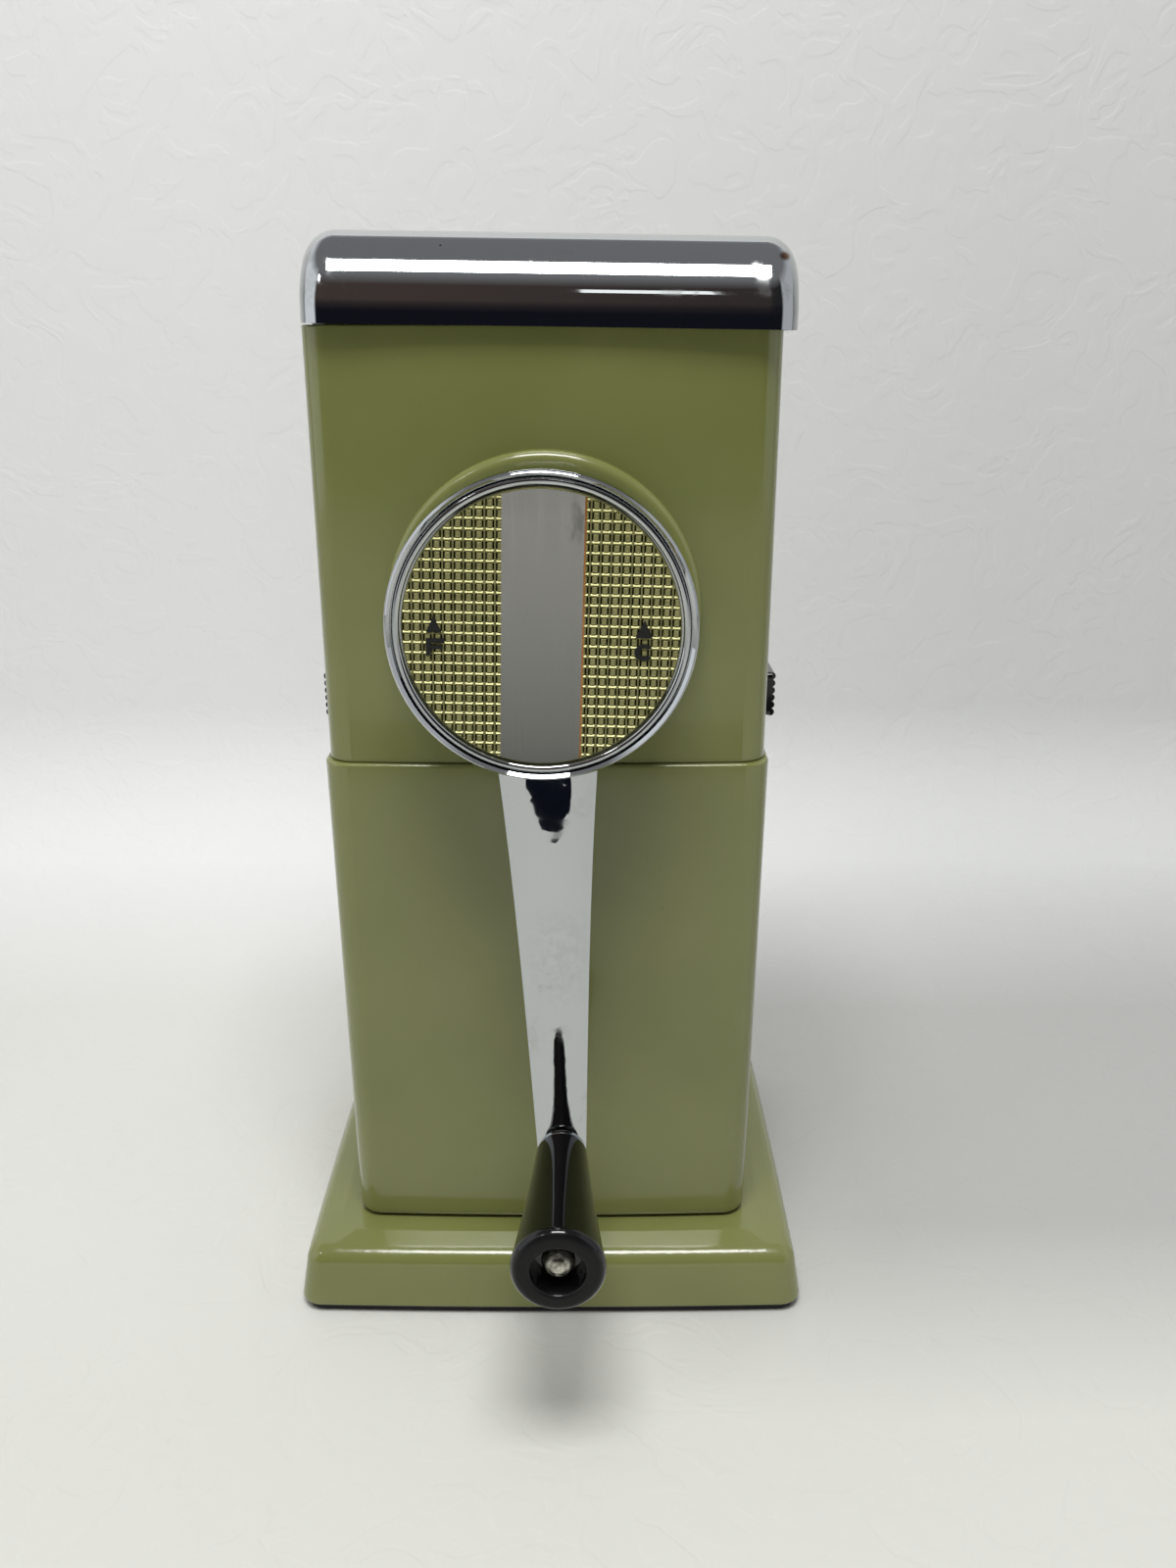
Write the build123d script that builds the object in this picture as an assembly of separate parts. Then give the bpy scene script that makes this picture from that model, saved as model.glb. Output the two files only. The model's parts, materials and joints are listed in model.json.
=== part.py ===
"""Hand crank ice crusher: a chrome lid over an olive crushing head that stands on an ice container
and a flared base, with a chrome crank on the front.

Millimetres. +Z is up, +X is to the right and the crank's side, the front, faces -Y. The origin is
the middle of the rubber foot's underside, on the surface that the crusher stands on.
"""
import os
from math import cos, pi, radians, sin, tan

from build123d import *

# ---- driving dimensions -----------------------------------------------------------------------
TOTAL_HEIGHT = 254.0      # to the middle of the lid's top
FOOT_HEIGHT = 2.0
DECK_Z = 18.0             # the container stands on the base here
SPLIT_Z = 142.0           # the head stands on the container here
LID_LOW_Z = 235.5
NECK_LOW_Z = 235.9        # the housing narrows here, inside the lid
HOUSING_TOP_Z = 243.0
CRANK_Z = 177.5           # height of the main shaft

HOUSING_WIDTH = 100.9
HOUSING_DEPTH = 84.0
HOUSING_WALL = 2.4
FRONT_CROWN = 1.2         # how far the front and back bow out
SIDE_CROWN = 0.5
BODY_CORNER = 6.0
CORNER_STEP = 2.2         # how much tighter the corners are on the inside of a wall

CONTAINER_RIM_WIDTH = 102.8
CONTAINER_FOOT_WIDTH = 100.8
CONTAINER_RIM_DEPTH = 86.2
CONTAINER_FOOT_DEPTH = 84.2
CONTAINER_WALL = 2.6
CONTAINER_FLOOR_Z = 27.0
COLLAR_TOP_Z = 149.0      # the container's collar stands inside the head
COLLAR_GAP = 0.35

BASE_WIDTH = 128.0
BASE_DEPTH = 112.8
BASE_CORNER = 5.6
BASE_SHOULDER = 4.6
BASE_SHOULDER_Z = 16.2
BASE_WALL = 3.0
BASE_DRAFT = 9.0          # degrees

LID_WIDTH = 102.2
LID_DEPTH = 88.0
LID_SHEET = 1.0
LID_FRONT_RADIUS = 16.0
LID_EDGE_RADIUS = 8.0
LID_END_RADIUS = 6.5
LID_SHIFT = 1.7           # the lid sits a little to the right of the housing
LID_TILT = 0.8            # degrees that its right end hangs lower

# reaches in front of the middle of the body, along the crank's own axis
BOSS_REACH = 46.5
BOSS_RADIUS = 34.0
HUB_BACK = 46.8
DISC_REACH = 64.0
DISC_RADIUS = 32.0
HUB_WALL_RADIUS = 31.0
DISH_RADIUS = 30.75
DISH_FLOOR = 61.4
INSERT_RADIUS = 28.5
INSERT_THICKNESS = 1.5
STRIP_WIDTH = 16.4
STRIP_THICKNESS = 0.4
DIAL_TURN = -1.5          # degrees from upright, seen from the front

CRANK_RADIUS = 124.5      # from the main shaft to the grip's axis
REST_TILT = 1.5           # degrees that the hanging crank leans to the right in the photograph
ARM_WIDTHS = ((20.0, 23.2), (55.5, 17.7), (90.0, 14.2), (132.0, 10.8))   # (distance, width)
ARM_CREST_NEAR = 61.0     # reach of the arm's crest at the shaft, and at the grip
ARM_CREST_FAR = 62.4
ARM_CROWN_SHARE = 0.13    # rise of the crown over the arm's width
ARM_EDGE_NEAR = 3.0
ARM_EDGE_FAR = 2.6
ARM_END_RADIUS = 6.2
ARM_BOSS_RADIUS = 5.4
ARM_BOSS_BACK = 57.6
ARM_BOSS_FRONT = 62.7

GRIP_START = 63.4
GRIP_END = 104.1
GRIP_SMALL_RADIUS = 6.0
GRIP_LARGE_RADIUS = 10.0
GRIP_RECESS_RADIUS = 5.7
GRIP_RECESS_DEPTH = 4.2
GRIP_WAIST = 0.25         # how far the grip's flanks bow inwards
SPINDLE_RADIUS = 2.4
RIVET_HEAD_RADIUS = 3.55

SHAFT_RADIUS = 5.0
RUNNING_GAP = 0.06
SEAT_GAP = 0.03
SOCKET_SIDE = 7.0

CHAMBER_WIDTH = 54.0      # inside of the crushing chamber
CHAMBER_DEPTH = 62.0
CHAMBER_CORNER = 2.5
CHAMBER_LOW_Z = 151.0
CHAMBER_TOP_Z = 206.0
HOPPER_WALL = 2.0
HOPPER_TOP_Z = 240.0

ROTOR_TIP_RADIUS = 23.5
ROTOR_ROOT_RADIUS = 10.0
ROTOR_DISCS = 5
ROTOR_PITCH = 11.5
ROTOR_DISC_THICKNESS = 3.6
ROTOR_TEETH = 3
ROTOR_STAGGER = 24.0      # degrees from one disc to the next

LATCH_WIDTH = 24.0
LATCH_HEIGHT = 11.0
LATCH_MIDDLE_Z = 150.1
LATCH_REACH = 55.6
LATCH_RIBS = 6

FRONT_FRAME = Location((0, 0, CRANK_Z), (90, 0, 0))    # X right, Y up, Z out of the front
CRANK_FRAME = FRONT_FRAME * Location((0, 0, 0), (0, 0, REST_TILT))
GRIP_FRAME = CRANK_FRAME * Location((0, -CRANK_RADIUS, 0))
DIAL_FRAME = FRONT_FRAME * Location((0, 0, 0), (0, 0, DIAL_TURN))
LID_FRAME = Location((LID_SHIFT, 0, TOTAL_HEIGHT), (0, LID_TILT, 0)) * Location((0, 0, -TOTAL_HEIGHT))


# ---- shapes used more than once ---------------------------------------------------------------
def crowned(width, depth, corner, crown=FRONT_CROWN, side_crown=SIDE_CROWN):
    """A rectangle whose four sides bow outwards, with round corners."""
    x = width / 2 - side_crown
    y = depth / 2 - crown
    corners = [(-x, -y), (x, -y), (x, y), (-x, y)]
    middles = [(0, -depth / 2), (width / 2, 0), (0, depth / 2), (-width / 2, 0)]
    sides = [ThreePointArc(corners[i], middles[i], corners[(i + 1) % 4]) for i in range(4)]
    face = make_face(sides)
    return fillet(face.vertices(), corner)


def prism(sketch, low, high):
    """A sketch pulled up from one height to another."""
    return extrude(Pos(0, 0, low) * sketch, high - low)


def tube(outer, inner, low, high):
    """A round sleeve along local Z."""
    return prism(Circle(outer) - Circle(inner), low, high)


def low_edges(piece):
    return piece.edges().group_by(Axis.Z)[0]


def high_edges(piece):
    return piece.edges().group_by(Axis.Z)[-1]


def screw(shank_radius, head_radius, tip, seat, top):
    """A pan-head screw along +Z with a cross slot in its head."""
    head_height = top - seat
    shank = prism(Circle(shank_radius), tip, seat)
    head = prism(Circle(head_radius), seat, top)
    head = fillet(high_edges(head), head_height * 0.45)
    slot = Box(head_radius * 1.2, head_radius * 0.3, head_height * 0.8)
    slot += Rot(0, 0, 90) * slot
    return shank + head - Pos(0, 0, top) * slot


def dome(radius, share):
    """Half a ball flattened to a share of its height, on the plane Z = 0."""
    upper_half = Pos(0, 0, radius) * Box(3 * radius, 3 * radius, 2 * radius)
    return scale(Sphere(radius) & upper_half, (1, 1, share))


def four_corners(piece, x, y):
    """The same piece at four places about the middle."""
    return [Pos(sx * x, sy * y, 0) * piece for sx in (-1, 1) for sy in (-1, 1)]


# ---- the stand: foot, base and container ------------------------------------------------------
FOOT_INSET = 1.2
FOOT_RING_TOP_Z = 5.0
FOOT_RING_WIDTH = 3.0
FOOT_RING_GAP = 0.9
FOOT_CHAMFER = 0.5
BASE_FRONT_CROWN = 1.0
BASE_SIDE_CROWN = 0.4
BASE_RIM_RADIUS = 0.8
SCREW_X = 34.0
SCREW_Y = 26.0
CONTAINER_SCREW_RADIUS = 1.87
CONTAINER_SCREW_HEAD = 3.7
DECK_THICKNESS = 3.4
DECK_HOLE_RADIUS = 2.2
DECK_MARGIN = 4.4         # the flat of the deck outside the container's foot
DECK_CREASE_RADIUS = 3.0
RIB_THICKNESS = 2.0
RIB_HEIGHT = 5.0
RIB_END_GAP = 6.0
POST_BASE_RADIUS = 4.5
POST_BASE_BORE = 1.9
SKIRT_RADIUS = 2.4        # the rounded lower edge of the container
RIM_RADIUS = 0.7
FLOOR_THICKNESS = 2.5


def base_outline(inset):
    corner = BASE_CORNER - inset * 0.6
    width = BASE_WIDTH - 2 * inset
    depth = BASE_DEPTH - 2 * inset
    return crowned(width, depth, corner, BASE_FRONT_CROWN, BASE_SIDE_CROWN)


def base_section(z, inset):
    """The base's outline at a height: its sides lean inwards."""
    return Pos(0, 0, z) * base_outline(inset + (z - FOOT_HEIGHT) * tan(radians(BASE_DRAFT)))


def rubber_foot():
    """A sheet with a raised ring that grips the inside of the base's rim."""
    sheet = prism(base_outline(FOOT_INSET), 0, FOOT_HEIGHT)
    sheet = chamfer(low_edges(sheet), FOOT_CHAMFER)
    ring_inset = BASE_WALL + FOOT_RING_GAP
    ring = base_outline(ring_inset) - base_outline(ring_inset + FOOT_RING_WIDTH)
    return sheet + prism(ring, FOOT_HEIGHT, FOOT_RING_TOP_Z)


def base_outside():
    """Drafted sides, a rounded shoulder, and a top that slopes up gently to the deck."""
    deck_width = CONTAINER_FOOT_WIDTH + 2 * DECK_MARGIN
    deck_depth = CONTAINER_FOOT_DEPTH + 2 * DECK_MARGIN
    shoulder = base_section(BASE_SHOULDER_Z, 0)
    deck = Pos(0, 0, DECK_Z) * crowned(deck_width, deck_depth, BODY_CORNER)
    sides = loft([base_section(FOOT_HEIGHT, 0), shoulder], ruled=True)
    top = loft([shoulder, deck], ruled=True)
    outside = sides + top
    outside = fillet(high_edges(outside), DECK_CREASE_RADIUS)
    ring = [e for e in outside.edges() if abs(e.center().Z - BASE_SHOULDER_Z) < 0.01]
    outside = fillet(ring, BASE_SHOULDER)
    return fillet(low_edges(outside), BASE_RIM_RADIUS)


def base_shell():
    """The flared pedestal, hollow below, with two ribs under the deck."""
    cavity_top = DECK_Z - DECK_THICKNESS
    cavity = loft([base_section(FOOT_HEIGHT, BASE_WALL), base_section(cavity_top, BASE_WALL)], ruled=True)
    cavity = fillet(high_edges(cavity), BASE_SHOULDER - BASE_WALL)
    shell = base_outside() - cavity
    hole = prism(Circle(DECK_HOLE_RADIUS), cavity_top - 1, DECK_Z + 1)
    for place in four_corners(hole, SCREW_X, SCREW_Y):
        shell -= place
    rib_length = BASE_WIDTH - 2 * (BASE_WALL + RIB_END_GAP)
    cross_length = BASE_DEPTH - 2 * (BASE_WALL + RIB_END_GAP)
    rib = prism(Rectangle(rib_length, RIB_THICKNESS), cavity_top - RIB_HEIGHT, cavity_top + 0.5)
    cross_rib = prism(Rectangle(RIB_THICKNESS, cross_length), cavity_top - RIB_HEIGHT, cavity_top + 0.5)
    return shell + rib + cross_rib


def container_section(z, inset, corner):
    """The container's outline at a height: it narrows towards the base."""
    share = (z - DECK_Z) / (SPLIT_Z - DECK_Z)
    width = CONTAINER_FOOT_WIDTH + share * (CONTAINER_RIM_WIDTH - CONTAINER_FOOT_WIDTH) - 2 * inset
    depth = CONTAINER_FOOT_DEPTH + share * (CONTAINER_RIM_DEPTH - CONTAINER_FOOT_DEPTH) - 2 * inset
    return Pos(0, 0, z) * crowned(width, depth, corner)


def ice_container():
    """A tapered bin on a skirt, with a collar that the head fits over."""
    outside = loft([container_section(DECK_Z, 0, BODY_CORNER), container_section(SPLIT_Z, 0, BODY_CORNER)])
    outside = fillet(low_edges(outside), SKIRT_RADIUS)
    outside = fillet(high_edges(outside), RIM_RADIUS)
    collar_inset = HOUSING_WALL + COLLAR_GAP
    collar_width = HOUSING_WIDTH - 2 * collar_inset
    collar_depth = HOUSING_DEPTH - 2 * collar_inset
    collar = prism(crowned(collar_width, collar_depth, BODY_CORNER - CORNER_STEP), SPLIT_Z - 1, COLLAR_TOP_Z)
    inner_corner = BODY_CORNER - CONTAINER_WALL
    mouth_inset = collar_inset + (CONTAINER_RIM_WIDTH - HOUSING_WIDTH) / 2 + 2.0
    waist_z = SPLIT_Z - 12
    mouth_z = SPLIT_Z - 4
    mouth = container_section(mouth_z, mouth_inset, inner_corner)
    inside = loft([container_section(CONTAINER_FLOOR_Z, CONTAINER_WALL, inner_corner),
                   container_section(waist_z, CONTAINER_WALL, inner_corner), mouth], ruled=True)
    below_floor = CONTAINER_FLOOR_Z - FLOOR_THICKNESS
    under = loft([container_section(DECK_Z, CONTAINER_WALL, inner_corner),
                  container_section(below_floor, CONTAINER_WALL, inner_corner)])
    body = outside + collar - inside - extrude(mouth, COLLAR_TOP_Z - mouth_z + 2) - under
    post = prism(Circle(POST_BASE_RADIUS), DECK_Z, below_floor + 0.1)
    bore = prism(Circle(POST_BASE_BORE), DECK_Z - 1, below_floor - 0.5)
    for place in four_corners(post, SCREW_X, SCREW_Y):
        body += place
    for place in four_corners(bore, SCREW_X, SCREW_Y):
        body -= place
    gate = Box(20, LATCH_WIDTH + 8, COLLAR_TOP_Z - SPLIT_Z)
    for side in (-1, 1):
        body -= Pos(side * HOUSING_WIDTH / 2, 0, (COLLAR_TOP_Z + SPLIT_Z) / 2 + 1.0) * gate
    return body


def container_screws():
    """Four screws up through the deck into the container's posts."""
    seat = DECK_Z - DECK_THICKNESS
    tip = DECK_Z + 5.5
    one = Rot(180, 0, 0) * screw(CONTAINER_SCREW_RADIUS, CONTAINER_SCREW_HEAD, -tip, -seat, -seat + 2.4)
    return Compound(children=four_corners(one, SCREW_X, SCREW_Y))


# ---- the head: housing, hopper, bearings and combs --------------------------------------------
NECK_SIDE_INSET = 2.2
NECK_FRONT_INSET = 0.9
NECK_WALL = 1.2
NECK_INNER_LOW_Z = 233.5
HOUSING_LOW_RADIUS = 0.6
NECK_LEDGE_RADIUS = 0.4
BOSS_EDGE_RADIUS = 2.0
BOSS_WALL = 3.0
BOSS_CORE_RADIUS = 11.0
BOSS_FRONT_WALL = 2.6
BOSS_RIBS = 6
POST_X = 42.6
POST_Y = 34.9
POST_RADIUS = 3.5
POST_BORE_RADIUS = 1.5
POST_LOW_Z = 222.0
POST_FILLER_OFFSET = 2.4  # the square that joins each post to the casing's corner
LATCH_PLAY = 0.7
MOUTH_WIDTH = 85.0
MOUTH_DEPTH = 70.0
MOUTH_CORNER = 14.0
FLANGE_THICKNESS = 2.0
FLANGE_GAP = 0.3
HOPPER_COLLAR_WALL = 3.0
HOPPER_COLLAR_REACH = 4.5
HOPPER_SCREW_RADIUS = 1.47
HOPPER_SCREW_HEAD = 3.2
HOPPER_SCREW_HOLE = 1.7
BUSH_RADIUS = 7.5
BUSH_FLANGE_RADIUS = 9.5
BUSH_FLANGE_THICKNESS = 1.2


def housing_outside():
    """A crowned sleeve with a narrower neck on top, which the lid closes over."""
    sleeve = prism(crowned(HOUSING_WIDTH, HOUSING_DEPTH, BODY_CORNER), SPLIT_Z, NECK_LOW_Z)
    sleeve = fillet(low_edges(sleeve), HOUSING_LOW_RADIUS)
    sleeve = fillet(high_edges(sleeve), NECK_LEDGE_RADIUS)
    neck_width = HOUSING_WIDTH - 2 * NECK_SIDE_INSET
    neck_depth = HOUSING_DEPTH - 2 * NECK_FRONT_INSET
    neck = prism(crowned(neck_width, neck_depth, BODY_CORNER - NECK_FRONT_INSET), NECK_LOW_Z - 1,
                 HOUSING_TOP_Z)
    return sleeve + neck


def housing_inside():
    """The casing's space, with a step inwards at the neck."""
    corner = BODY_CORNER - CORNER_STEP
    depth = HOUSING_DEPTH - 2 * HOUSING_WALL
    neck_width = HOUSING_WIDTH - 2 * (NECK_SIDE_INSET + NECK_WALL)
    lower = prism(crowned(HOUSING_WIDTH - 2 * HOUSING_WALL, depth, corner), SPLIT_Z - 1, NECK_INNER_LOW_Z)
    upper = prism(crowned(neck_width, depth, corner), NECK_INNER_LOW_Z - 1, HOUSING_TOP_Z + 1)
    return lower + upper


def boss_core():
    """The ring-shaped hollow behind the boss, crossed by ribs."""
    core = tube(BOSS_RADIUS - BOSS_WALL, BOSS_CORE_RADIUS, 30, BOSS_REACH - BOSS_FRONT_WALL)
    for turn in range(BOSS_RIBS):
        core -= Rot(0, 0, turn * 360 / BOSS_RIBS) * Pos(20, 0, 38) * Box(24, 1.8, 30)
    return core


def housing_post():
    """A screw post for the hopper, in the corner where X and Y are positive."""
    high = HOPPER_TOP_Z - FLANGE_THICKNESS
    filler = Pos(POST_FILLER_OFFSET, POST_FILLER_OFFSET) * Rectangle(2 * POST_RADIUS, 2 * POST_RADIUS)
    post = prism(Circle(POST_RADIUS), POST_LOW_Z, high) + prism(filler, POST_LOW_Z, high)
    post -= prism(Circle(POST_BORE_RADIUS), POST_LOW_Z + 2, HOPPER_TOP_Z)
    return Pos(POST_X, POST_Y, 0) * post


def upper_housing():
    """The head's casing, with a round boss on the front, four posts and two windows."""
    outside = housing_outside()
    boss = prism(Circle(BOSS_RADIUS), HOUSING_DEPTH / 2 - 6, BOSS_REACH)
    boss = fillet(high_edges(boss), BOSS_EDGE_RADIUS)
    body = outside + FRONT_FRAME * boss - housing_inside() - FRONT_FRAME * boss_core()
    body -= FRONT_FRAME * prism(Circle(BUSH_RADIUS + SEAT_GAP), 30, BOSS_REACH + 1)
    right_back = housing_post() & outside
    left_back = mirror(right_back, Plane.YZ)
    for post in (right_back, left_back):
        body += post
        body += mirror(post, Plane.XZ)
    window = Box(30, LATCH_WIDTH + LATCH_PLAY, LATCH_HEIGHT + LATCH_PLAY)
    for side in (-1, 1):
        body -= Pos(side * HOUSING_WIDTH / 2, 0, LATCH_MIDDLE_Z) * window
    return body


def chamber_outline(wall):
    return RectangleRounded(CHAMBER_WIDTH + 2 * wall, CHAMBER_DEPTH + 2 * wall, CHAMBER_CORNER + wall)


def mouth_outline(wall):
    return RectangleRounded(MOUTH_WIDTH + 2 * wall, MOUTH_DEPTH + 2 * wall, MOUTH_CORNER + wall)


def funnel_form(wall, low, high):
    """The funnel's space, or its outside when a wall is added: narrow below and wide above."""
    return loft([Pos(0, 0, low) * chamber_outline(wall), Pos(0, 0, high) * mouth_outline(wall)])


def hopper():
    """The funnel that leads ice to the rotor, and the crushing chamber under it, in one casting."""
    flange_z = HOPPER_TOP_Z - FLANGE_THICKNESS
    flange_width = HOUSING_WIDTH - 2 * (NECK_SIDE_INSET + NECK_WALL + FLANGE_GAP)
    flange_depth = HOUSING_DEPTH - 2 * (HOUSING_WALL + FLANGE_GAP)
    flange_corner = BODY_CORNER - CORNER_STEP - FLANGE_GAP
    body = prism(crowned(flange_width, flange_depth, flange_corner), flange_z, HOPPER_TOP_Z)
    body += funnel_form(HOPPER_WALL, CHAMBER_TOP_Z, flange_z)
    body += prism(chamber_outline(HOPPER_WALL), CHAMBER_LOW_Z, CHAMBER_TOP_Z)
    body -= funnel_form(0, CHAMBER_TOP_Z, flange_z)
    body -= prism(mouth_outline(0), flange_z - 0.01, HOPPER_TOP_Z + 1)
    body -= prism(chamber_outline(0), CHAMBER_LOW_Z - 1, CHAMBER_TOP_Z + 0.01)
    reach = CHAMBER_DEPTH / 2
    seat_radius = BUSH_RADIUS + SEAT_GAP
    collar = tube(BUSH_RADIUS + HOPPER_COLLAR_WALL, seat_radius, reach, reach + HOPPER_COLLAR_REACH)
    body += FRONT_FRAME * collar + FRONT_FRAME * mirror(collar, Plane.XY)
    body -= FRONT_FRAME * prism(Circle(seat_radius), -reach - 6, reach + 6)
    screw_hole = prism(Circle(HOPPER_SCREW_HOLE), flange_z - 1, HOPPER_TOP_Z + 1)
    for place in four_corners(screw_hole, POST_X, POST_Y):
        body -= place
    cup = tube(SPRING_RADIUS + 2.0, SPRING_RADIUS + 0.8, 0, SPRING_CUP_DEPTH)
    right_cup = Pos(CHAMBER_WIDTH / 2 + HOPPER_WALL, 0, SPRING_Z) * Rot(0, 90, 0) * cup
    body += right_cup
    body += mirror(right_cup, Plane.YZ)
    for place in comb_screw_places():
        body -= place * Cylinder(COMB_HOLE_RADIUS, 12)
    return body


def hopper_screws():
    one = screw(HOPPER_SCREW_RADIUS, HOPPER_SCREW_HEAD, POST_LOW_Z + 4, HOPPER_TOP_Z, HOPPER_TOP_Z + 2.0)
    return Compound(children=four_corners(one, POST_X, POST_Y))


def bush(end):
    """A flanged bronze sleeve: the flange lies inside the chamber, against its wall."""
    bore = SHAFT_RADIUS + RUNNING_GAP
    inner = CHAMBER_DEPTH / 2
    sleeve = tube(BUSH_RADIUS, bore, inner, end)
    return sleeve + tube(BUSH_FLANGE_RADIUS, bore, inner - BUSH_FLANGE_THICKNESS, inner)


def front_bush():
    return FRONT_FRAME * bush(BOSS_REACH - 0.4)


def rear_bush():
    return FRONT_FRAME * mirror(bush(CHAMBER_DEPTH / 2 + HOPPER_COLLAR_REACH), Plane.XY)


COMB_PLATE = 1.9
COMB_HALF_DEPTH = 28.2
COMB_HEIGHT = 48.0
COMB_MIDDLE_Z = CRANK_Z + 1.0
COMB_SCREW_Y = 23.0
COMB_SCREW_Z = 20.0
COMB_SCREW_RADIUS = 1.57
COMB_SCREW_HEAD = 3.0
COMB_HOLE_RADIUS = 1.6
FINGER_TIP_HALF = 2.0
FINE_GAP = 1.3            # from a finger's side to the disc beside it
COARSE_GAP = 2.5
FINE_TIP_X = 12.0
COARSE_TIP_X = 16.0


def comb_screw_places():
    """Where the comb screws cross the chamber's side walls; local Z points outwards."""
    places = []
    for side in (-1, 1):
        for sy in (-1, 1):
            for sz in (-1, 1):
                centre = (side * (CHAMBER_WIDTH / 2 + HOPPER_WALL), sy * COMB_SCREW_Y,
                          COMB_MIDDLE_Z + sz * COMB_SCREW_Z)
                places.append(Location(centre, (0, side * 90, 0)))
    return places


def comb(side, gap, gaps_used, tip_x, finger_low, finger_high):
    """A plate on the chamber's side wall with fingers that stand between the rotor's discs."""
    wall_x = CHAMBER_WIDTH / 2
    plate = Box(COMB_PLATE, 2 * COMB_HALF_DEPTH, COMB_HEIGHT)
    piece = Pos(side * (wall_x - COMB_PLATE / 2), 0, COMB_MIDDLE_Z) * plate
    base_x = side * (wall_x - 0.5)
    tip_z = CRANK_Z + (finger_low + finger_high) / 2
    outline = Polyline([(base_x, CRANK_Z + finger_low), (side * tip_x, tip_z - FINGER_TIP_HALF),
                        (side * tip_x, tip_z + FINGER_TIP_HALF), (base_x, CRANK_Z + finger_high)],
                       close=True)
    face = Plane.XZ * make_face(outline)
    half_disc = ROTOR_DISC_THICKNESS / 2
    for index in gaps_used:
        disc_before = (index - (ROTOR_DISCS + 1) / 2) * ROTOR_PITCH
        near = max(disc_before + half_disc + gap, -COMB_HALF_DEPTH)
        far = min(disc_before + ROTOR_PITCH - half_disc - gap, COMB_HALF_DEPTH)
        piece += Pos(0, far, 0) * extrude(face, far - near)
    for place in comb_screw_places():
        piece -= place * Cylinder(COMB_HOLE_RADIUS, 12)
    return piece


def fine_comb():
    """Six thick fingers that leave narrow gaps: one beyond each end disc and four between."""
    return comb(-1, FINE_GAP, range(ROTOR_DISCS + 1), FINE_TIP_X, -13.0, 9.0)


def coarse_comb():
    """Four slim, short fingers that leave wide gaps."""
    return comb(1, COARSE_GAP, range(1, ROTOR_DISCS), COARSE_TIP_X, -9.0, 7.0)


def comb_screws():
    one = screw(COMB_SCREW_RADIUS, COMB_SCREW_HEAD, -(HOPPER_WALL + COMB_PLATE), 0, 2.0)
    return Compound(children=[place * one for place in comb_screw_places()])


# ---- the hinge and the lid --------------------------------------------------------------------
HINGE_Y = 46.6
HINGE_Z = 236.0
HINGE_RADIUS = 2.1
HINGE_PIN_RADIUS = 1.2
HINGE_HALF_LENGTH = 26.0
KNUCKLE_HALF_LENGTH = 11.0
KNUCKLE_GAP = 0.2
PIN_HEAD_RADIUS = 1.8
PIN_HEAD_THICKNESS = 0.8
BRACKET_SHEET = 0.9
BRACKET_LOW_Z = 212.0
BRACKET_RIVET_Z = 220.0
BRACKET_RIVET_X = 18.0
BRACKET_RIVET_RADIUS = 2.3
LID_LEAF_HEIGHT = 10.0
LID_RIVET_X = 7.0
LID_RIVET_RISE = 6.4
LID_RIVET_RADIUS = 1.9
RIVET_SHARE = 0.5
HINGE_FRAME = Location((0, HINGE_Y, HINGE_Z), (0, 90, 0))


def knuckles(low_x, high_x):
    """A rolled barrel round the hinge pin, along X."""
    return HINGE_FRAME * tube(HINGE_RADIUS, HINGE_PIN_RADIUS + RUNNING_GAP, low_x, high_x)


def pin_way():
    """The hole through the barrels."""
    return HINGE_FRAME * Cylinder(HINGE_PIN_RADIUS + RUNNING_GAP, 3 * HINGE_HALF_LENGTH)


def side_profile(points, half_length):
    """An outline in the Y-Z plane pulled out along X, the same both ways."""
    face = make_face(Polyline(points, close=True))
    return extrude(Plane.YZ * face, half_length, both=True)


def hinge_bracket():
    """The fixed leaf on the housing's back, with a knuckle at each end."""
    back = HOUSING_DEPTH / 2
    outer = back + BRACKET_SHEET
    inside = back - 1.0
    bend_z = HINGE_Z - 3.3
    leaf = side_profile([(inside, BRACKET_LOW_Z), (outer, BRACKET_LOW_Z), (outer, bend_z - 1.3),
                         (HINGE_Y - 0.5, HINGE_Z - 1.75), (HINGE_Y - 1.2, HINGE_Z - 1.25),
                         (outer - 0.4, bend_z), (inside, bend_z)], HINGE_HALF_LENGTH)
    gap_half = KNUCKLE_HALF_LENGTH + KNUCKLE_GAP
    leaf -= Pos(0, HINGE_Y, HINGE_Z) * Box(2 * gap_half, 8.4, 7.2)
    leaf += knuckles(gap_half, HINGE_HALF_LENGTH)
    leaf += knuckles(-HINGE_HALF_LENGTH, -gap_half)
    leaf -= pin_way()
    return leaf - prism(crowned(HOUSING_WIDTH, HOUSING_DEPTH, BODY_CORNER), 200, NECK_LOW_Z)


def hinge_pin():
    """A pin with a small head at each end, fixed in the bracket."""
    half = HINGE_HALF_LENGTH + 0.05
    head_middle = half + PIN_HEAD_THICKNESS / 2
    pin = Cylinder(HINGE_PIN_RADIUS, 2 * half)
    head = Cylinder(PIN_HEAD_RADIUS, PIN_HEAD_THICKNESS)
    pin += Pos(0, 0, head_middle) * head
    pin += Pos(0, 0, -head_middle) * head
    return HINGE_FRAME * pin


def back_rivets(radius, places_x, y, z):
    """Domed rivet heads in a row on the back."""
    head = dome(radius, RIVET_SHARE)
    return Compound(children=[Location((x, y, z), (-90, 0, 0)) * head for x in places_x])


def bracket_rivets():
    """Three domed rivets that hold the fixed leaf."""
    places_x = (-BRACKET_RIVET_X, 0, BRACKET_RIVET_X)
    return back_rivets(BRACKET_RIVET_RADIUS, places_x, HOUSING_DEPTH / 2 + BRACKET_SHEET, BRACKET_RIVET_Z)


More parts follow.
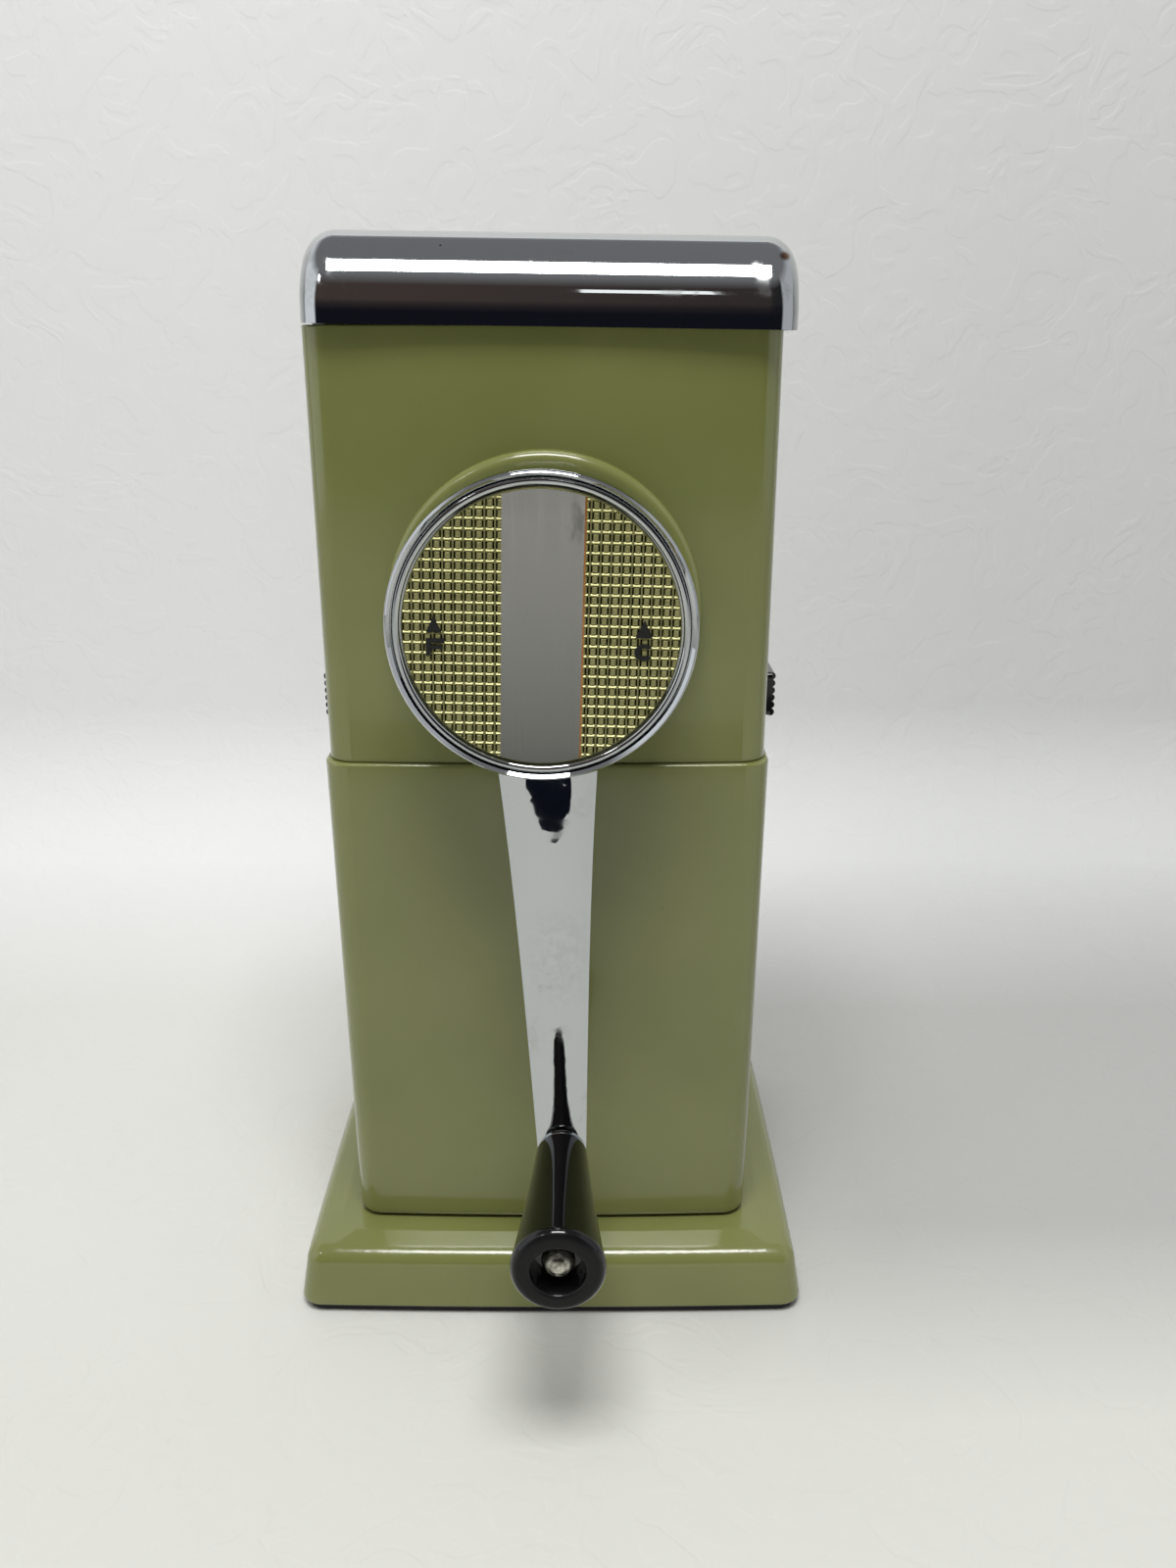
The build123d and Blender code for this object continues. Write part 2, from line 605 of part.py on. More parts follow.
def lid_form(inset, low):
    """The lid's outside, or its inside when it is inset by the sheet's thickness."""
    top = TOTAL_HEIGHT - inset
    edge = LID_DEPTH / 2 - inset
    front = LID_FRONT_RADIUS - inset
    rear = LID_EDGE_RADIUS - inset
    bend = 1 - sin(pi / 4)
    profile = [Line((-edge, low), (-edge, top - front)),
               ThreePointArc((-edge, top - front), (-edge + front * bend, top - front * bend),
                             (-edge + front, top)),
               Line((-edge + front, top), (edge - rear, top)),
               ThreePointArc((edge - rear, top), (edge - rear * bend, top - rear * bend),
                             (edge, top - rear)),
               Line((edge, top - rear), (edge, low)),
               Line((edge, low), (-edge, low))]
    form = extrude(Plane.YZ * make_face(profile), LID_WIDTH / 2 - inset, both=True)
    ends = form.edges().group_by(Axis.X)[0] + form.edges().group_by(Axis.X)[-1]
    ends = [edge for edge in ends if edge.center().Z > low + 0.1]
    return LID_FRAME * fillet(ends, LID_END_RADIUS - inset)


def lid_shell():
    """The pressed cap, set slightly askew on its hinge."""
    return lid_form(0, LID_LOW_Z) - lid_form(LID_SHEET, LID_LOW_Z - 1)


def lid_leaf():
    """The moving leaf, riveted to the back of the lid's skirt."""
    skirt = LID_DEPTH / 2
    outer = skirt + BRACKET_SHEET
    high = HINGE_Z + LID_LEAF_HEIGHT
    leaf = side_profile([(skirt, HINGE_Z), (outer, HINGE_Z), (outer, high), (skirt, high)],
                        KNUCKLE_HALF_LENGTH)
    leaf += knuckles(-KNUCKLE_HALF_LENGTH, KNUCKLE_HALF_LENGTH)
    return leaf - pin_way() - lid_form(0, LID_LOW_Z)


def lid_rivets():
    outer = LID_DEPTH / 2 + BRACKET_SHEET
    return back_rivets(LID_RIVET_RADIUS, (-LID_RIVET_X, LID_RIVET_X), outer, HINGE_Z + LID_RIVET_RISE)


# ---- the crank: shaft, rotor, hub, arm and trim -----------------------------------------------
SQUARE_LOW = HUB_BACK + 0.4   # the shaft turns square here
SQUARE_HIGH = 55.4
SHAFT_BORE_RADIUS = 2.53
SHAFT_BORE_LOW = 42.0
REAR_WALL = -CHAMBER_DEPTH / 2
WASHER_LOW = REAR_WALL - 5.3
WASHER_THICKNESS = 0.6
RING_LOW = REAR_WALL - 6.35
RING_THICKNESS = 0.95
SHAFT_END = REAR_WALL - 7.4
GROOVE_RADIUS = SHAFT_RADIUS - 0.6
HUB_SCREW_RADIUS = 2.5
HUB_SCREW_HEAD = 4.8
HUB_SCREW_HOLE = 2.7
HUB_SCREW_WELL = 5.2
HUB_SCREW_SEAT = DISH_FLOOR - 3.2
HUB_CUP_WALL = 2.6
HUB_CORE_RADIUS = 9.0
HUB_FACE_THICKNESS = 2.8
HUB_RIBS = 4
BEAD_HALF = 1.3
TOOTH_TIP_ANGLE = 0.10    # half angles of a tooth, in radians
TOOTH_WAIST_ANGLE = 0.27
TOOTH_BASE_ANGLE = 0.62
TOOTH_WAIST_RADIUS = (ROTOR_TIP_RADIUS + ROTOR_ROOT_RADIUS) / 2 - 1.0
ROTOR_HUB_RADIUS = 9.4
ROTOR_END_GAP = 1.6


def main_shaft():
    """A round shaft with a square front end, threaded for the hub screw."""
    shaft = prism(Circle(SHAFT_RADIUS), SHAFT_END, SQUARE_LOW)
    shaft += prism(Rectangle(SOCKET_SIDE, SOCKET_SIDE), SQUARE_LOW, SQUARE_HIGH)
    shaft -= prism(Circle(SHAFT_BORE_RADIUS), SHAFT_BORE_LOW, SQUARE_HIGH + 1)
    groove = tube(SHAFT_RADIUS + 1, GROOVE_RADIUS, RING_LOW - 0.05, RING_LOW + RING_THICKNESS + 0.05)
    return CRANK_FRAME * (shaft - groove)


def polar(angle, radius):
    return (radius * cos(angle), radius * sin(angle))


def tooth_disc():
    """One disc of the rotor: three pointed teeth with hollow flanks, the same both ways round."""
    edges = []
    step = 2 * pi / ROTOR_TEETH
    for tooth in range(ROTOR_TEETH):
        middle = tooth * step
        root_before = polar(middle - TOOTH_BASE_ANGLE, ROTOR_ROOT_RADIUS)
        waist_before = polar(middle - TOOTH_WAIST_ANGLE, TOOTH_WAIST_RADIUS)
        tip_before = polar(middle - TOOTH_TIP_ANGLE, ROTOR_TIP_RADIUS)
        tip_after = polar(middle + TOOTH_TIP_ANGLE, ROTOR_TIP_RADIUS)
        waist_after = polar(middle + TOOTH_WAIST_ANGLE, TOOTH_WAIST_RADIUS)
        root_after = polar(middle + TOOTH_BASE_ANGLE, ROTOR_ROOT_RADIUS)
        valley = polar(middle + step / 2, ROTOR_ROOT_RADIUS)
        root_next = polar(middle + step - TOOTH_BASE_ANGLE, ROTOR_ROOT_RADIUS)
        edges.append(ThreePointArc(root_before, waist_before, tip_before))
        edges.append(Line(tip_before, tip_after))
        edges.append(ThreePointArc(tip_after, waist_after, root_after))
        edges.append(ThreePointArc(root_after, valley, root_next))
    return extrude(make_face(edges), ROTOR_DISC_THICKNESS / 2, both=True)


def rotor():
    """Five toothed discs on one hub, each turned a little from the last."""
    half_length = CHAMBER_DEPTH / 2 - ROTOR_END_GAP
    disc = tooth_disc()
    body = prism(Circle(ROTOR_HUB_RADIUS), -half_length, half_length)
    for index in range(ROTOR_DISCS):
        place = (index - (ROTOR_DISCS - 1) / 2) * ROTOR_PITCH
        body += Pos(0, 0, place) * Rot(0, 0, index * ROTOR_STAGGER) * disc
    body -= prism(Circle(SHAFT_RADIUS + SEAT_GAP), -half_length - 1, half_length + 1)
    return CRANK_FRAME * body


def retaining_ring():
    """A snap ring in the shaft's groove, behind the rear bush."""
    ring = tube(SHAFT_RADIUS + 2.2, GROOVE_RADIUS + 0.05, RING_LOW, RING_LOW + RING_THICKNESS)
    return CRANK_FRAME * (ring - Pos(0, SHAFT_RADIUS, RING_LOW) * Box(5, 8, 4))


def thrust_washer():
    high = WASHER_LOW + WASHER_THICKNESS
    return CRANK_FRAME * tube(SHAFT_RADIUS + 3.0, SHAFT_RADIUS + SEAT_GAP, WASHER_LOW, high)


def arm_section(distance, width):
    """A cross-section of the arm: flat at the back, crowned at the front."""
    share = (distance - ARM_WIDTHS[0][0]) / (CRANK_RADIUS - ARM_WIDTHS[0][0])
    crest = ARM_CREST_NEAR + share * (ARM_CREST_FAR - ARM_CREST_NEAR)
    edge = ARM_EDGE_NEAR + share * (ARM_EDGE_FAR - ARM_EDGE_NEAR)
    half = width / 2
    flank = crest - ARM_CROWN_SHARE * width
    back = flank - edge
    outline = [Line((-half, back), (half, back)),
               Line((half, back), (half, flank)),
               ThreePointArc((half, flank), (0, crest), (-half, flank)),
               Line((-half, flank), (-half, back))]
    plane = Plane(origin=(0, -distance, 0), x_dir=(1, 0, 0), z_dir=(0, -1, 0))
    return plane * make_face(outline)


def hub_disc():
    """The round of the hub: a beaded rim round a dish in front."""
    bead_centre = DISC_REACH - BEAD_HALF
    rim = HUB_WALL_RADIUS + 0.35
    profile = [Line((0, HUB_BACK), (HUB_WALL_RADIUS - 0.5, HUB_BACK)),
               Line((HUB_WALL_RADIUS - 0.5, HUB_BACK), (HUB_WALL_RADIUS, HUB_BACK + 0.5)),
               Line((HUB_WALL_RADIUS, HUB_BACK + 0.5), (HUB_WALL_RADIUS, bead_centre - BEAD_HALF)),
               ThreePointArc((HUB_WALL_RADIUS, bead_centre - BEAD_HALF), (DISC_RADIUS, bead_centre),
                             (rim, DISC_REACH)),
               Line((rim, DISC_REACH), (DISH_RADIUS, DISC_REACH - 0.6)),
               Line((DISH_RADIUS, DISC_REACH - 0.6), (DISH_RADIUS, DISH_FLOOR)),
               Line((DISH_RADIUS, DISH_FLOOR), (0, DISH_FLOOR)),
               Line((0, DISH_FLOOR), (0, HUB_BACK))]
    return revolve(Plane.XZ * make_face(profile), Axis.Z)


def hub_cup():
    """The ring-shaped hollow at the hub's back, crossed by ribs."""
    cup = tube(HUB_WALL_RADIUS - HUB_CUP_WALL, HUB_CORE_RADIUS, HUB_BACK - 1, DISH_FLOOR - HUB_FACE_THICKNESS)
    for turn in range(HUB_RIBS):
        cup -= Rot(0, 0, 45 + turn * 90) * Pos(20, 0, HUB_BACK + 6) * Box(28, 2.0, 30)
    return cup


def crank_arm():
    """Hub and arm, one die casting: a dish for the dial in front, and a cup behind."""
    arm = loft([arm_section(distance, width) for distance, width in ARM_WIDTHS])
    reach = Pos(0, -CRANK_RADIUS) * Circle(ARM_END_RADIUS)
    reach += Pos(0, -CRANK_RADIUS / 2) * Rectangle(40, CRANK_RADIUS)
    arm &= prism(reach, 40, 80)
    arm -= prism(Circle(DISH_RADIUS - 1), 40, 80)
    arm += prism(Pos(0, -CRANK_RADIUS) * Circle(ARM_BOSS_RADIUS), ARM_BOSS_BACK, ARM_BOSS_FRONT)
    body = hub_disc() - hub_cup() + arm
    socket = SOCKET_SIDE + 2 * SEAT_GAP
    body -= prism(Rectangle(socket, socket), SQUARE_LOW, SQUARE_HIGH + 0.1)
    body -= prism(Circle(SHAFT_RADIUS + SEAT_GAP), HUB_BACK - 1, SQUARE_LOW)
    body -= prism(Circle(HUB_SCREW_HOLE), SQUARE_HIGH - 5, DISH_FLOOR + 1)
    body -= prism(Circle(HUB_SCREW_WELL), HUB_SCREW_SEAT, DISH_FLOOR + 1)
    body -= prism(Pos(0, -CRANK_RADIUS) * Circle(SPINDLE_RADIUS + SEAT_GAP), 50, 70)
    return CRANK_FRAME * body


def hub_screw():
    """The screw that draws the hub onto the shaft, under the dial."""
    top = HUB_SCREW_SEAT + 2.6
    return CRANK_FRAME * screw(HUB_SCREW_RADIUS, HUB_SCREW_HEAD, SHAFT_BORE_LOW + 2, HUB_SCREW_SEAT, top)


def dial_insert():
    """The round dial that fills the hub's dish."""
    plate = prism(Circle(INSERT_RADIUS), DISH_FLOOR, DISH_FLOOR + INSERT_THICKNESS)
    return DIAL_FRAME * chamfer(high_edges(plate), 0.3)


def dial_strip():
    """The plain metal strip across the dial."""
    low = DISH_FLOOR + INSERT_THICKNESS
    outline = Circle(INSERT_RADIUS - 0.4) & Rectangle(STRIP_WIDTH, 4 * INSERT_RADIUS)
    return DIAL_FRAME * prism(outline, low, low + STRIP_THICKNESS)


def bezel_ring():
    """The rounded ring that traps the dial in the dish."""
    inner = INSERT_RADIUS + 0.35
    outer = DISH_RADIUS - 0.25
    high = DISC_REACH - 0.55
    shoulder = high - 0.9
    profile = [Line((inner, DISH_FLOOR), (outer, DISH_FLOOR)),
               Line((outer, DISH_FLOOR), (outer, shoulder)),
               ThreePointArc((outer, shoulder), ((inner + outer) / 2, high), (inner, shoulder)),
               Line((inner, shoulder), (inner, DISH_FLOOR))]
    return CRANK_FRAME * revolve(Plane.XZ * make_face(profile), Axis.Z)


RIVET_GAP = 0.15
RIVET_DOME_SHARE = 0.72
RIVET_TAIL_RADIUS = 4.2
RIVET_TAIL_THICKNESS = 1.5
RIVET_TAIL_ROUND = 0.8
GRIP_WASHER_RADIUS = 5.2
GRIP_WASHER_THICKNESS = 0.55
GRIP_BORE_GAP = 0.08
GRIP_START_ROUND = 0.8
GRIP_END_ROUND = 2.0
RECESS_ROUND = 0.9
RECESS_DRAFT = 0.4
ARC_BEND = 1 - sin(pi / 4)


def grip_rivet():
    """The steel spindle of the grip, headed at the back of the arm and domed in the grip's recess."""
    head_low = GRIP_END - GRIP_RECESS_DEPTH + RIVET_GAP
    spindle = prism(Circle(SPINDLE_RADIUS), ARM_BOSS_BACK, head_low)
    tail = prism(Circle(RIVET_TAIL_RADIUS), ARM_BOSS_BACK - RIVET_TAIL_THICKNESS, ARM_BOSS_BACK)
    tail = fillet(low_edges(tail), RIVET_TAIL_ROUND)
    head = Pos(0, 0, head_low) * dome(RIVET_HEAD_RADIUS, RIVET_DOME_SHARE)
    return GRIP_FRAME * (spindle + tail + head)


def grip_washer():
    high = ARM_BOSS_FRONT + GRIP_WASHER_THICKNESS
    return GRIP_FRAME * tube(GRIP_WASHER_RADIUS, SPINDLE_RADIUS + SEAT_GAP, ARM_BOSS_FRONT, high)


def grip():
    """The tapered black grip: waisted, round at both ends, and hollow at the outer one."""
    start = GRIP_START
    end = GRIP_END
    bore = SPINDLE_RADIUS + GRIP_BORE_GAP
    recess = GRIP_RECESS_RADIUS
    floor = end - GRIP_RECESS_DEPTH
    face = (GRIP_SMALL_RADIUS - GRIP_START_ROUND, start)
    knee = (GRIP_SMALL_RADIUS, start + GRIP_START_ROUND)
    knee_middle = (GRIP_SMALL_RADIUS - GRIP_START_ROUND * ARC_BEND, start + GRIP_START_ROUND * ARC_BEND)
    lip = (GRIP_LARGE_RADIUS, end - GRIP_END_ROUND)
    lip_middle = (GRIP_LARGE_RADIUS - GRIP_END_ROUND * ARC_BEND, end - GRIP_END_ROUND * ARC_BEND)
    crest = (GRIP_LARGE_RADIUS - GRIP_END_ROUND, end)
    flank = ((GRIP_SMALL_RADIUS + GRIP_LARGE_RADIUS) / 2 - GRIP_WAIST, (start + end) / 2)
    inner_crest = (recess + RECESS_ROUND, end)
    inner_middle = (recess + RECESS_ROUND * ARC_BEND, end - RECESS_ROUND * ARC_BEND)
    inner_lip = (recess, end - RECESS_ROUND)
    foot = (recess - RECESS_DRAFT, floor)
    profile = [Line((bore, start), face),
               ThreePointArc(face, knee_middle, knee),
               ThreePointArc(knee, flank, lip),
               ThreePointArc(lip, lip_middle, crest),
               Line(crest, inner_crest),
               ThreePointArc(inner_crest, inner_middle, inner_lip),
               Line(inner_lip, foot),
               Line(foot, (bore, floor)),
               Line((bore, floor), (bore, start))]
    return GRIP_FRAME * revolve(Plane.XZ * make_face(profile), Axis.Z)


# ---- the side latches -------------------------------------------------------------------------
FLANGE_MARGIN = 2.0
FLANGE_DEPTH = 1.6
LATCH_INNER_X = HOUSING_WIDTH / 2 - HOUSING_WALL - 0.5
LATCH_CORNER = 1.2
RIB_END_INSET = 0.6
SPRING_RADIUS = 3.2
SPRING_WIRE = 0.45
SPRING_TURNS = 4
SPRING_GAP = 0.05
SPRING_CUP_DEPTH = 3.0
SPRING_Z = 155.0


def right_latch():
    """A push button with six round ribs, and a flange that keeps it in the housing's window."""
    rib_radius = LATCH_HEIGHT / LATCH_RIBS / 2
    face_x = LATCH_REACH - rib_radius
    block = Box(face_x - LATCH_INNER_X, LATCH_WIDTH, LATCH_HEIGHT)
    block = fillet(block.edges().filter_by(Axis.X), LATCH_CORNER)
    body = Pos((face_x + LATCH_INNER_X) / 2, 0, 0) * block
    rib = Rot(90, 0, 0) * Cylinder(rib_radius, LATCH_WIDTH - 2 * RIB_END_INSET)
    for index in range(LATCH_RIBS):
        z = (index - (LATCH_RIBS - 1) / 2) * 2 * rib_radius
        body += Pos(face_x, 0, z) * rib
    flange = Box(FLANGE_DEPTH, LATCH_WIDTH + 2 * FLANGE_MARGIN, LATCH_HEIGHT + 2 * FLANGE_MARGIN)
    body += Pos(LATCH_INNER_X - FLANGE_DEPTH / 2, 0, FLANGE_MARGIN / 2) * flange
    return Pos(0, 0, LATCH_MIDDLE_Z) * body


def left_latch():
    return mirror(right_latch(), Plane.YZ)


def right_latch_spring():
    """The coil that pushes the button out, from the hopper's cup to the button's flange."""
    low = CHAMBER_WIDTH / 2 + HOPPER_WALL + SPRING_WIRE + SPRING_GAP
    high = LATCH_INNER_X - FLANGE_DEPTH - SPRING_WIRE - SPRING_GAP
    path = Helix((high - low) / SPRING_TURNS, high - low, SPRING_RADIUS)
    start = Plane(origin=path @ 0, z_dir=path % 0)
    coil = sweep(start * Circle(SPRING_WIRE), path=path, is_frenet=True)
    return Location((low, 0, SPRING_Z), (0, 90, 0)) * coil


def left_latch_spring():
    return mirror(right_latch_spring(), Plane.YZ)


PARTS = {
    "rubber_foot": rubber_foot,
    "base_shell": base_shell,
    "ice_container": ice_container,
    "container_screws": container_screws,
    "upper_housing": upper_housing,
    "hopper": hopper,
    "hopper_screws": hopper_screws,
    "front_bush": front_bush,
    "rear_bush": rear_bush,
    "fine_comb": fine_comb,
    "coarse_comb": coarse_comb,
    "comb_screws": comb_screws,
    "hinge_bracket": hinge_bracket,
    "hinge_pin": hinge_pin,
    "bracket_rivets": bracket_rivets,
    "lid_shell": lid_shell,
    "lid_leaf": lid_leaf,
    "lid_rivets": lid_rivets,
    "main_shaft": main_shaft,
    "rotor": rotor,
    "thrust_washer": thrust_washer,
    "retaining_ring": retaining_ring,
    "crank_arm": crank_arm,
    "hub_screw": hub_screw,
    "dial_insert": dial_insert,
    "dial_strip": dial_strip,
    "bezel_ring": bezel_ring,
    "grip_rivet": grip_rivet,
    "grip_washer": grip_washer,
    "grip": grip,
    "right_latch": right_latch,
    "left_latch": left_latch,
    "right_latch_spring": right_latch_spring,
    "left_latch_spring": left_latch_spring,
}

os.makedirs("parts", exist_ok=True)
for name, make in PARTS.items():
    export_step(make(), f"parts/{name}.step")
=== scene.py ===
"""The looks of the hand crank ice crusher: materials, the dial's relief and marks, stage and light.

Metres, in the CAD model's frame: +Z is up, +X is to the right, and the crank and dial face -Y.
"""
import json
from math import cos, hypot, pi, radians, sin

import bmesh
import bpy
from mathutils import Matrix, Vector

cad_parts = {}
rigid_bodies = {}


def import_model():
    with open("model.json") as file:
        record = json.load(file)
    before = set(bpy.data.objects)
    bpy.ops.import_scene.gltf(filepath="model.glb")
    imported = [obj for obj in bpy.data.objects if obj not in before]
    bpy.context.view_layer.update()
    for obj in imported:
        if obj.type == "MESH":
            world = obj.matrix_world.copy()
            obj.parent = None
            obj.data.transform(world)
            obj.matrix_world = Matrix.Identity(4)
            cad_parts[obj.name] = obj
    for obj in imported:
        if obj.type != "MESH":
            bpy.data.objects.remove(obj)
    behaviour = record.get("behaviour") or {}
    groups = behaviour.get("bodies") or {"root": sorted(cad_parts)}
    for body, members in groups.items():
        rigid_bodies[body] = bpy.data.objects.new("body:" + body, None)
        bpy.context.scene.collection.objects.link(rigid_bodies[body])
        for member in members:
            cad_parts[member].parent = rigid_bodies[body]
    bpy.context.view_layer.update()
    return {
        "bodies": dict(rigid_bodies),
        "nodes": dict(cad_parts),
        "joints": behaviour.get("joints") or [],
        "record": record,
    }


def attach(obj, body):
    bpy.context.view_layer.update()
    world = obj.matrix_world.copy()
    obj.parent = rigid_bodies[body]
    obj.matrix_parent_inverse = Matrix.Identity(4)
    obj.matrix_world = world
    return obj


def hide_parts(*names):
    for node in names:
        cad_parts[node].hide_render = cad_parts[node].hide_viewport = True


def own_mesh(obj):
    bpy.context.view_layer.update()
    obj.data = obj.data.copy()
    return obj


MM = 0.001

# ---- camera, as the photograph was taken ------------------------------------------------------
IMAGE_HEIGHT = 1600
FOCAL_PIXELS = 1310
SENSOR = 36.0
CAMERA_PLACE = (9.4 * MM, -318.3 * MM, 234 * MM)
CAMERA_PITCH = 19.3          # degrees below level
NEAR_CLIP = 0.01

# ---- stage: one sheet that is the floor, a round cove and the wall behind the object ----------
FLOOR_HALF_WIDTH = 1.6
FLOOR_FRONT = -1.6
WALL_Y = 0.30
WALL_HEIGHT = 0.62
COVE_RADIUS = 0.06
COVE_STEPS = 16

# ---- light ------------------------------------------------------------------------------------
# name, place, what it points at, width, height, brightness of its face, seen in polished surfaces
LIGHTS = (
    ("ceiling_light", (0.0, -0.45, 1.25), (0, -0.04, 0.2), 0.56, 0.36, 17.0, True),
    ("lamp_left", (-0.58, -0.58, 0.93), (0, -0.04, 0.2), 0.13, 0.13, 9.0, True),
    ("soft_top", (0.0, -0.22, 1.30), (0, -0.06, 0.1), 0.8, 0.5, 1.2, False),
)
# name, middle, width, height, then its material's name, strength, lower colour and upper colour
CARDS = (
    ("dark_shape", (-0.01, -0.425, 0.018), 0.38, 0.036,
     "dim_shape", 1.0, (0.004, 0.005, 0.010), (0.006, 0.008, 0.014)),
    ("bright_bar", (0.045, -0.44, 0.497), 0.073, 0.045,
     "pale_bar", 1.6, (1, 1, 1), (1, 1, 1)),
)
ROOM_LEFT = (0.96, 0.98, 1.02)
ROOM_RIGHT = (0.58, 0.59, 0.62)
ROOM_OVERHEAD = (0.23, 0.23, 0.24)
AHEAD_LEFT = (0.085, 0.062, 0.055)
AHEAD_RIGHT = (0.026, 0.026, 0.027)
AHEAD_LOW = (0.010, 0.010, 0.016)
AHEAD_BEARING = (radians(50), radians(58))   # where the dark part in front ends, to either side
BEYOND_STAGE = (0.62, 0.62, 0.62)

# ---- dial: its face in the hub's dish, turned a little against the hanging crank --------------
CRANK_HEIGHT = 177.5 * MM
DIAL_TURN = -1.5             # degrees, seen from the front
DIAL_FACE = 62.9 * MM        # how far the dial's plate reaches in front of the body's middle
STRIP_HALF_WIDTH = 8.2 * MM

RELIEF_RADIUS = 28.2 * MM
RELIEF_PITCH = 2.1 * MM
RELIEF_HEIGHT = 0.31 * MM
RELIEF_UNDERLAP = 0.25 * MM  # how far the embossing reaches in under the strip's edge
RELIEF_SUNK = 0.02 * MM      # how far its skirt goes into the dial's plate
RELIEF_SNAP = 0.2 * MM       # points this near an edge are moved onto it
RELIEF_WELD = 0.005 * MM

# the embossing in one cell, in shares of the cell's width and of the relief's height
COLUMN_LINE_HALF = 0.09
COLUMN_LINE_RISE = 0.62
ROW_LINE_HALF = 0.15
ROW_LINE_CROSSING = 0.40     # beyond this the row line meets a column line
ROW_LINE_LOW = 0.35
PILLOW_HALF_ACROSS, PILLOW_SLOPE_ACROSS = 0.27, 0.09
PILLOW_HALF_UP, PILLOW_SLOPE_UP = 0.33, 0.08
PILLOW_RISE = 0.72
CELL_STEPS = (-0.5, -0.41, -0.35, -0.27, -0.18, 0.0, 0.18, 0.27, 0.35, 0.41)

MARK_LOW = DIAL_FACE + 0.15 * MM
MARK_FACE = DIAL_FACE + 0.42 * MM
LETTER_HEIGHT = 3.5 * MM
LETTER_STROKE = 1.05 * MM    # the upright's width
LETTER_BAR = 0.85 * MM       # the top bar's height
F_WIDTH = 3.8 * MM
F_ARM_TOP = 0.35 * MM        # above the letter's middle
F_ARM_HEIGHT = 0.8 * MM
F_ARM_SHORT = 0.5 * MM       # how much shorter the lower arm is
C_HALF_WIDTH = 1.95 * MM
C_OPENING = radians(38)
C_STEPS = 28
FINE_X, COARSE_X = -21.5 * MM, 20.9 * MM
FINE_Y, COARSE_Y = -3.9 * MM, -4.0 * MM
ARROW_Y = 0.75 * MM
FINE_ARROW_X, FINE_ARROW_WIDTH = -21.8 * MM, 3.1 * MM
COARSE_ARROW_X, COARSE_ARROW_WIDTH = 20.8 * MM, 3.5 * MM

AMBER_WIDTH = 0.4 * MM       # the lacquered line along the strip's right edge
AMBER_REACH = 26.6 * MM
AMBER_RISE = 0.38 * MM

# ---- grip and springs -------------------------------------------------------------------------
GRIP_FLANK_END = -103.3 * MM
GRIP_END_FACE = -104.0 * MM
RIVET_X, RIVET_Z = 3.26 * MM, 53.04 * MM

# ---- marks of wear on the chrome, on the front: (X, Z) middle and half sizes in mm, strength ---
CHROMIUM = (0.525, 0.548, 0.555)
ARM_SMUDGES = (
    ((3.2, 103.0), (6.5, 11.0), 0.42),
    ((-3.0, 84.0), (2.4, 5.0), 0.45),
    ((3.0, 84.0), (2.4, 2.6), 0.4),
    ((8.0, 138.0), (2.0, 3.0), 0.4),
)
LID_SMUDGES = (
    ((-44.0, 243.0), (8.0, 3.5), 0.5),
    ((30.0, 240.0), (9.0, 3.0), 0.4),
)
LID_RUST = (((49.3, 249.0), (1.1, 0.8)),)
PATCH_EDGE = 0.4             # how soft a patch's edge is, as a share of its size


def srgb(red, green, blue):
    """A colour given in 0 to 255 steps as a screen shows it, in linear values."""
    linear = []
    for value in (red, green, blue):
        share = value / 255
        linear.append(share / 12.92 if share <= 0.04045 else ((share + 0.055) / 1.055) ** 2.4)
    return tuple(linear)


# ---- material tools ---------------------------------------------------------------------------
def finish(name, color, roughness, metallic=0.0, **sockets):
    """A material whose plain values are set on the shader's own sockets."""
    material = bpy.data.materials.new(name)
    material.use_nodes = True
    shader = shader_of(material)
    shader.inputs["Base Color"].default_value = (*color, 1)
    shader.inputs["Roughness"].default_value = roughness
    shader.inputs["Metallic"].default_value = metallic
    for socket, value in sockets.items():
        shader.inputs[socket.replace("_", " ")].default_value = value
    return material


def shader_of(material):
    return material.node_tree.nodes["Principled BSDF"]


def add(material, kind, inputs=None, **settings):
    """A new node; inputs are values or other nodes' outputs, by socket name or number."""
    tree = material.node_tree
    node = tree.nodes.new(kind)
    for setting, value in settings.items():
        setattr(node, setting, value)
    for socket, value in (inputs or {}).items():
        if isinstance(value, bpy.types.NodeSocket):
            tree.links.new(value, node.inputs[socket])
        else:
            node.inputs[socket].default_value = value
    return node


def drive(material, socket, output):
    material.node_tree.links.new(output, shader_of(material).inputs[socket])


def surface_from(material, output):
    """The shader output that the material shows."""
    surface = material.node_tree.nodes["Material Output"].inputs["Surface"]
    material.node_tree.links.new(output, surface)


def place_in(material, scale=(1, 1, 1), offset=(0, 0, 0), turn=(0, 0, 0)):
    """The point on the object in metres, stretched, moved or turned."""
    where = add(material, "ShaderNodeTexCoord").outputs["Object"]
    changes = {"Vector": where, "Scale": scale, "Location": offset, "Rotation": turn}
    return add(material, "ShaderNodeMapping", changes).outputs["Vector"]


def axes_of(material, vector):
    """A vector's parts, by the names X, Y and Z."""
    return add(material, "ShaderNodeSeparateXYZ", {"Vector": vector}).outputs


def noise(material, scale, detail=3.0, rough=0.5, where=None):
    inputs = {"Vector": where or place_in(material), "Scale": scale, "Detail": detail,
              "Roughness": rough}
    return add(material, "ShaderNodeTexNoise", inputs).outputs["Fac"]


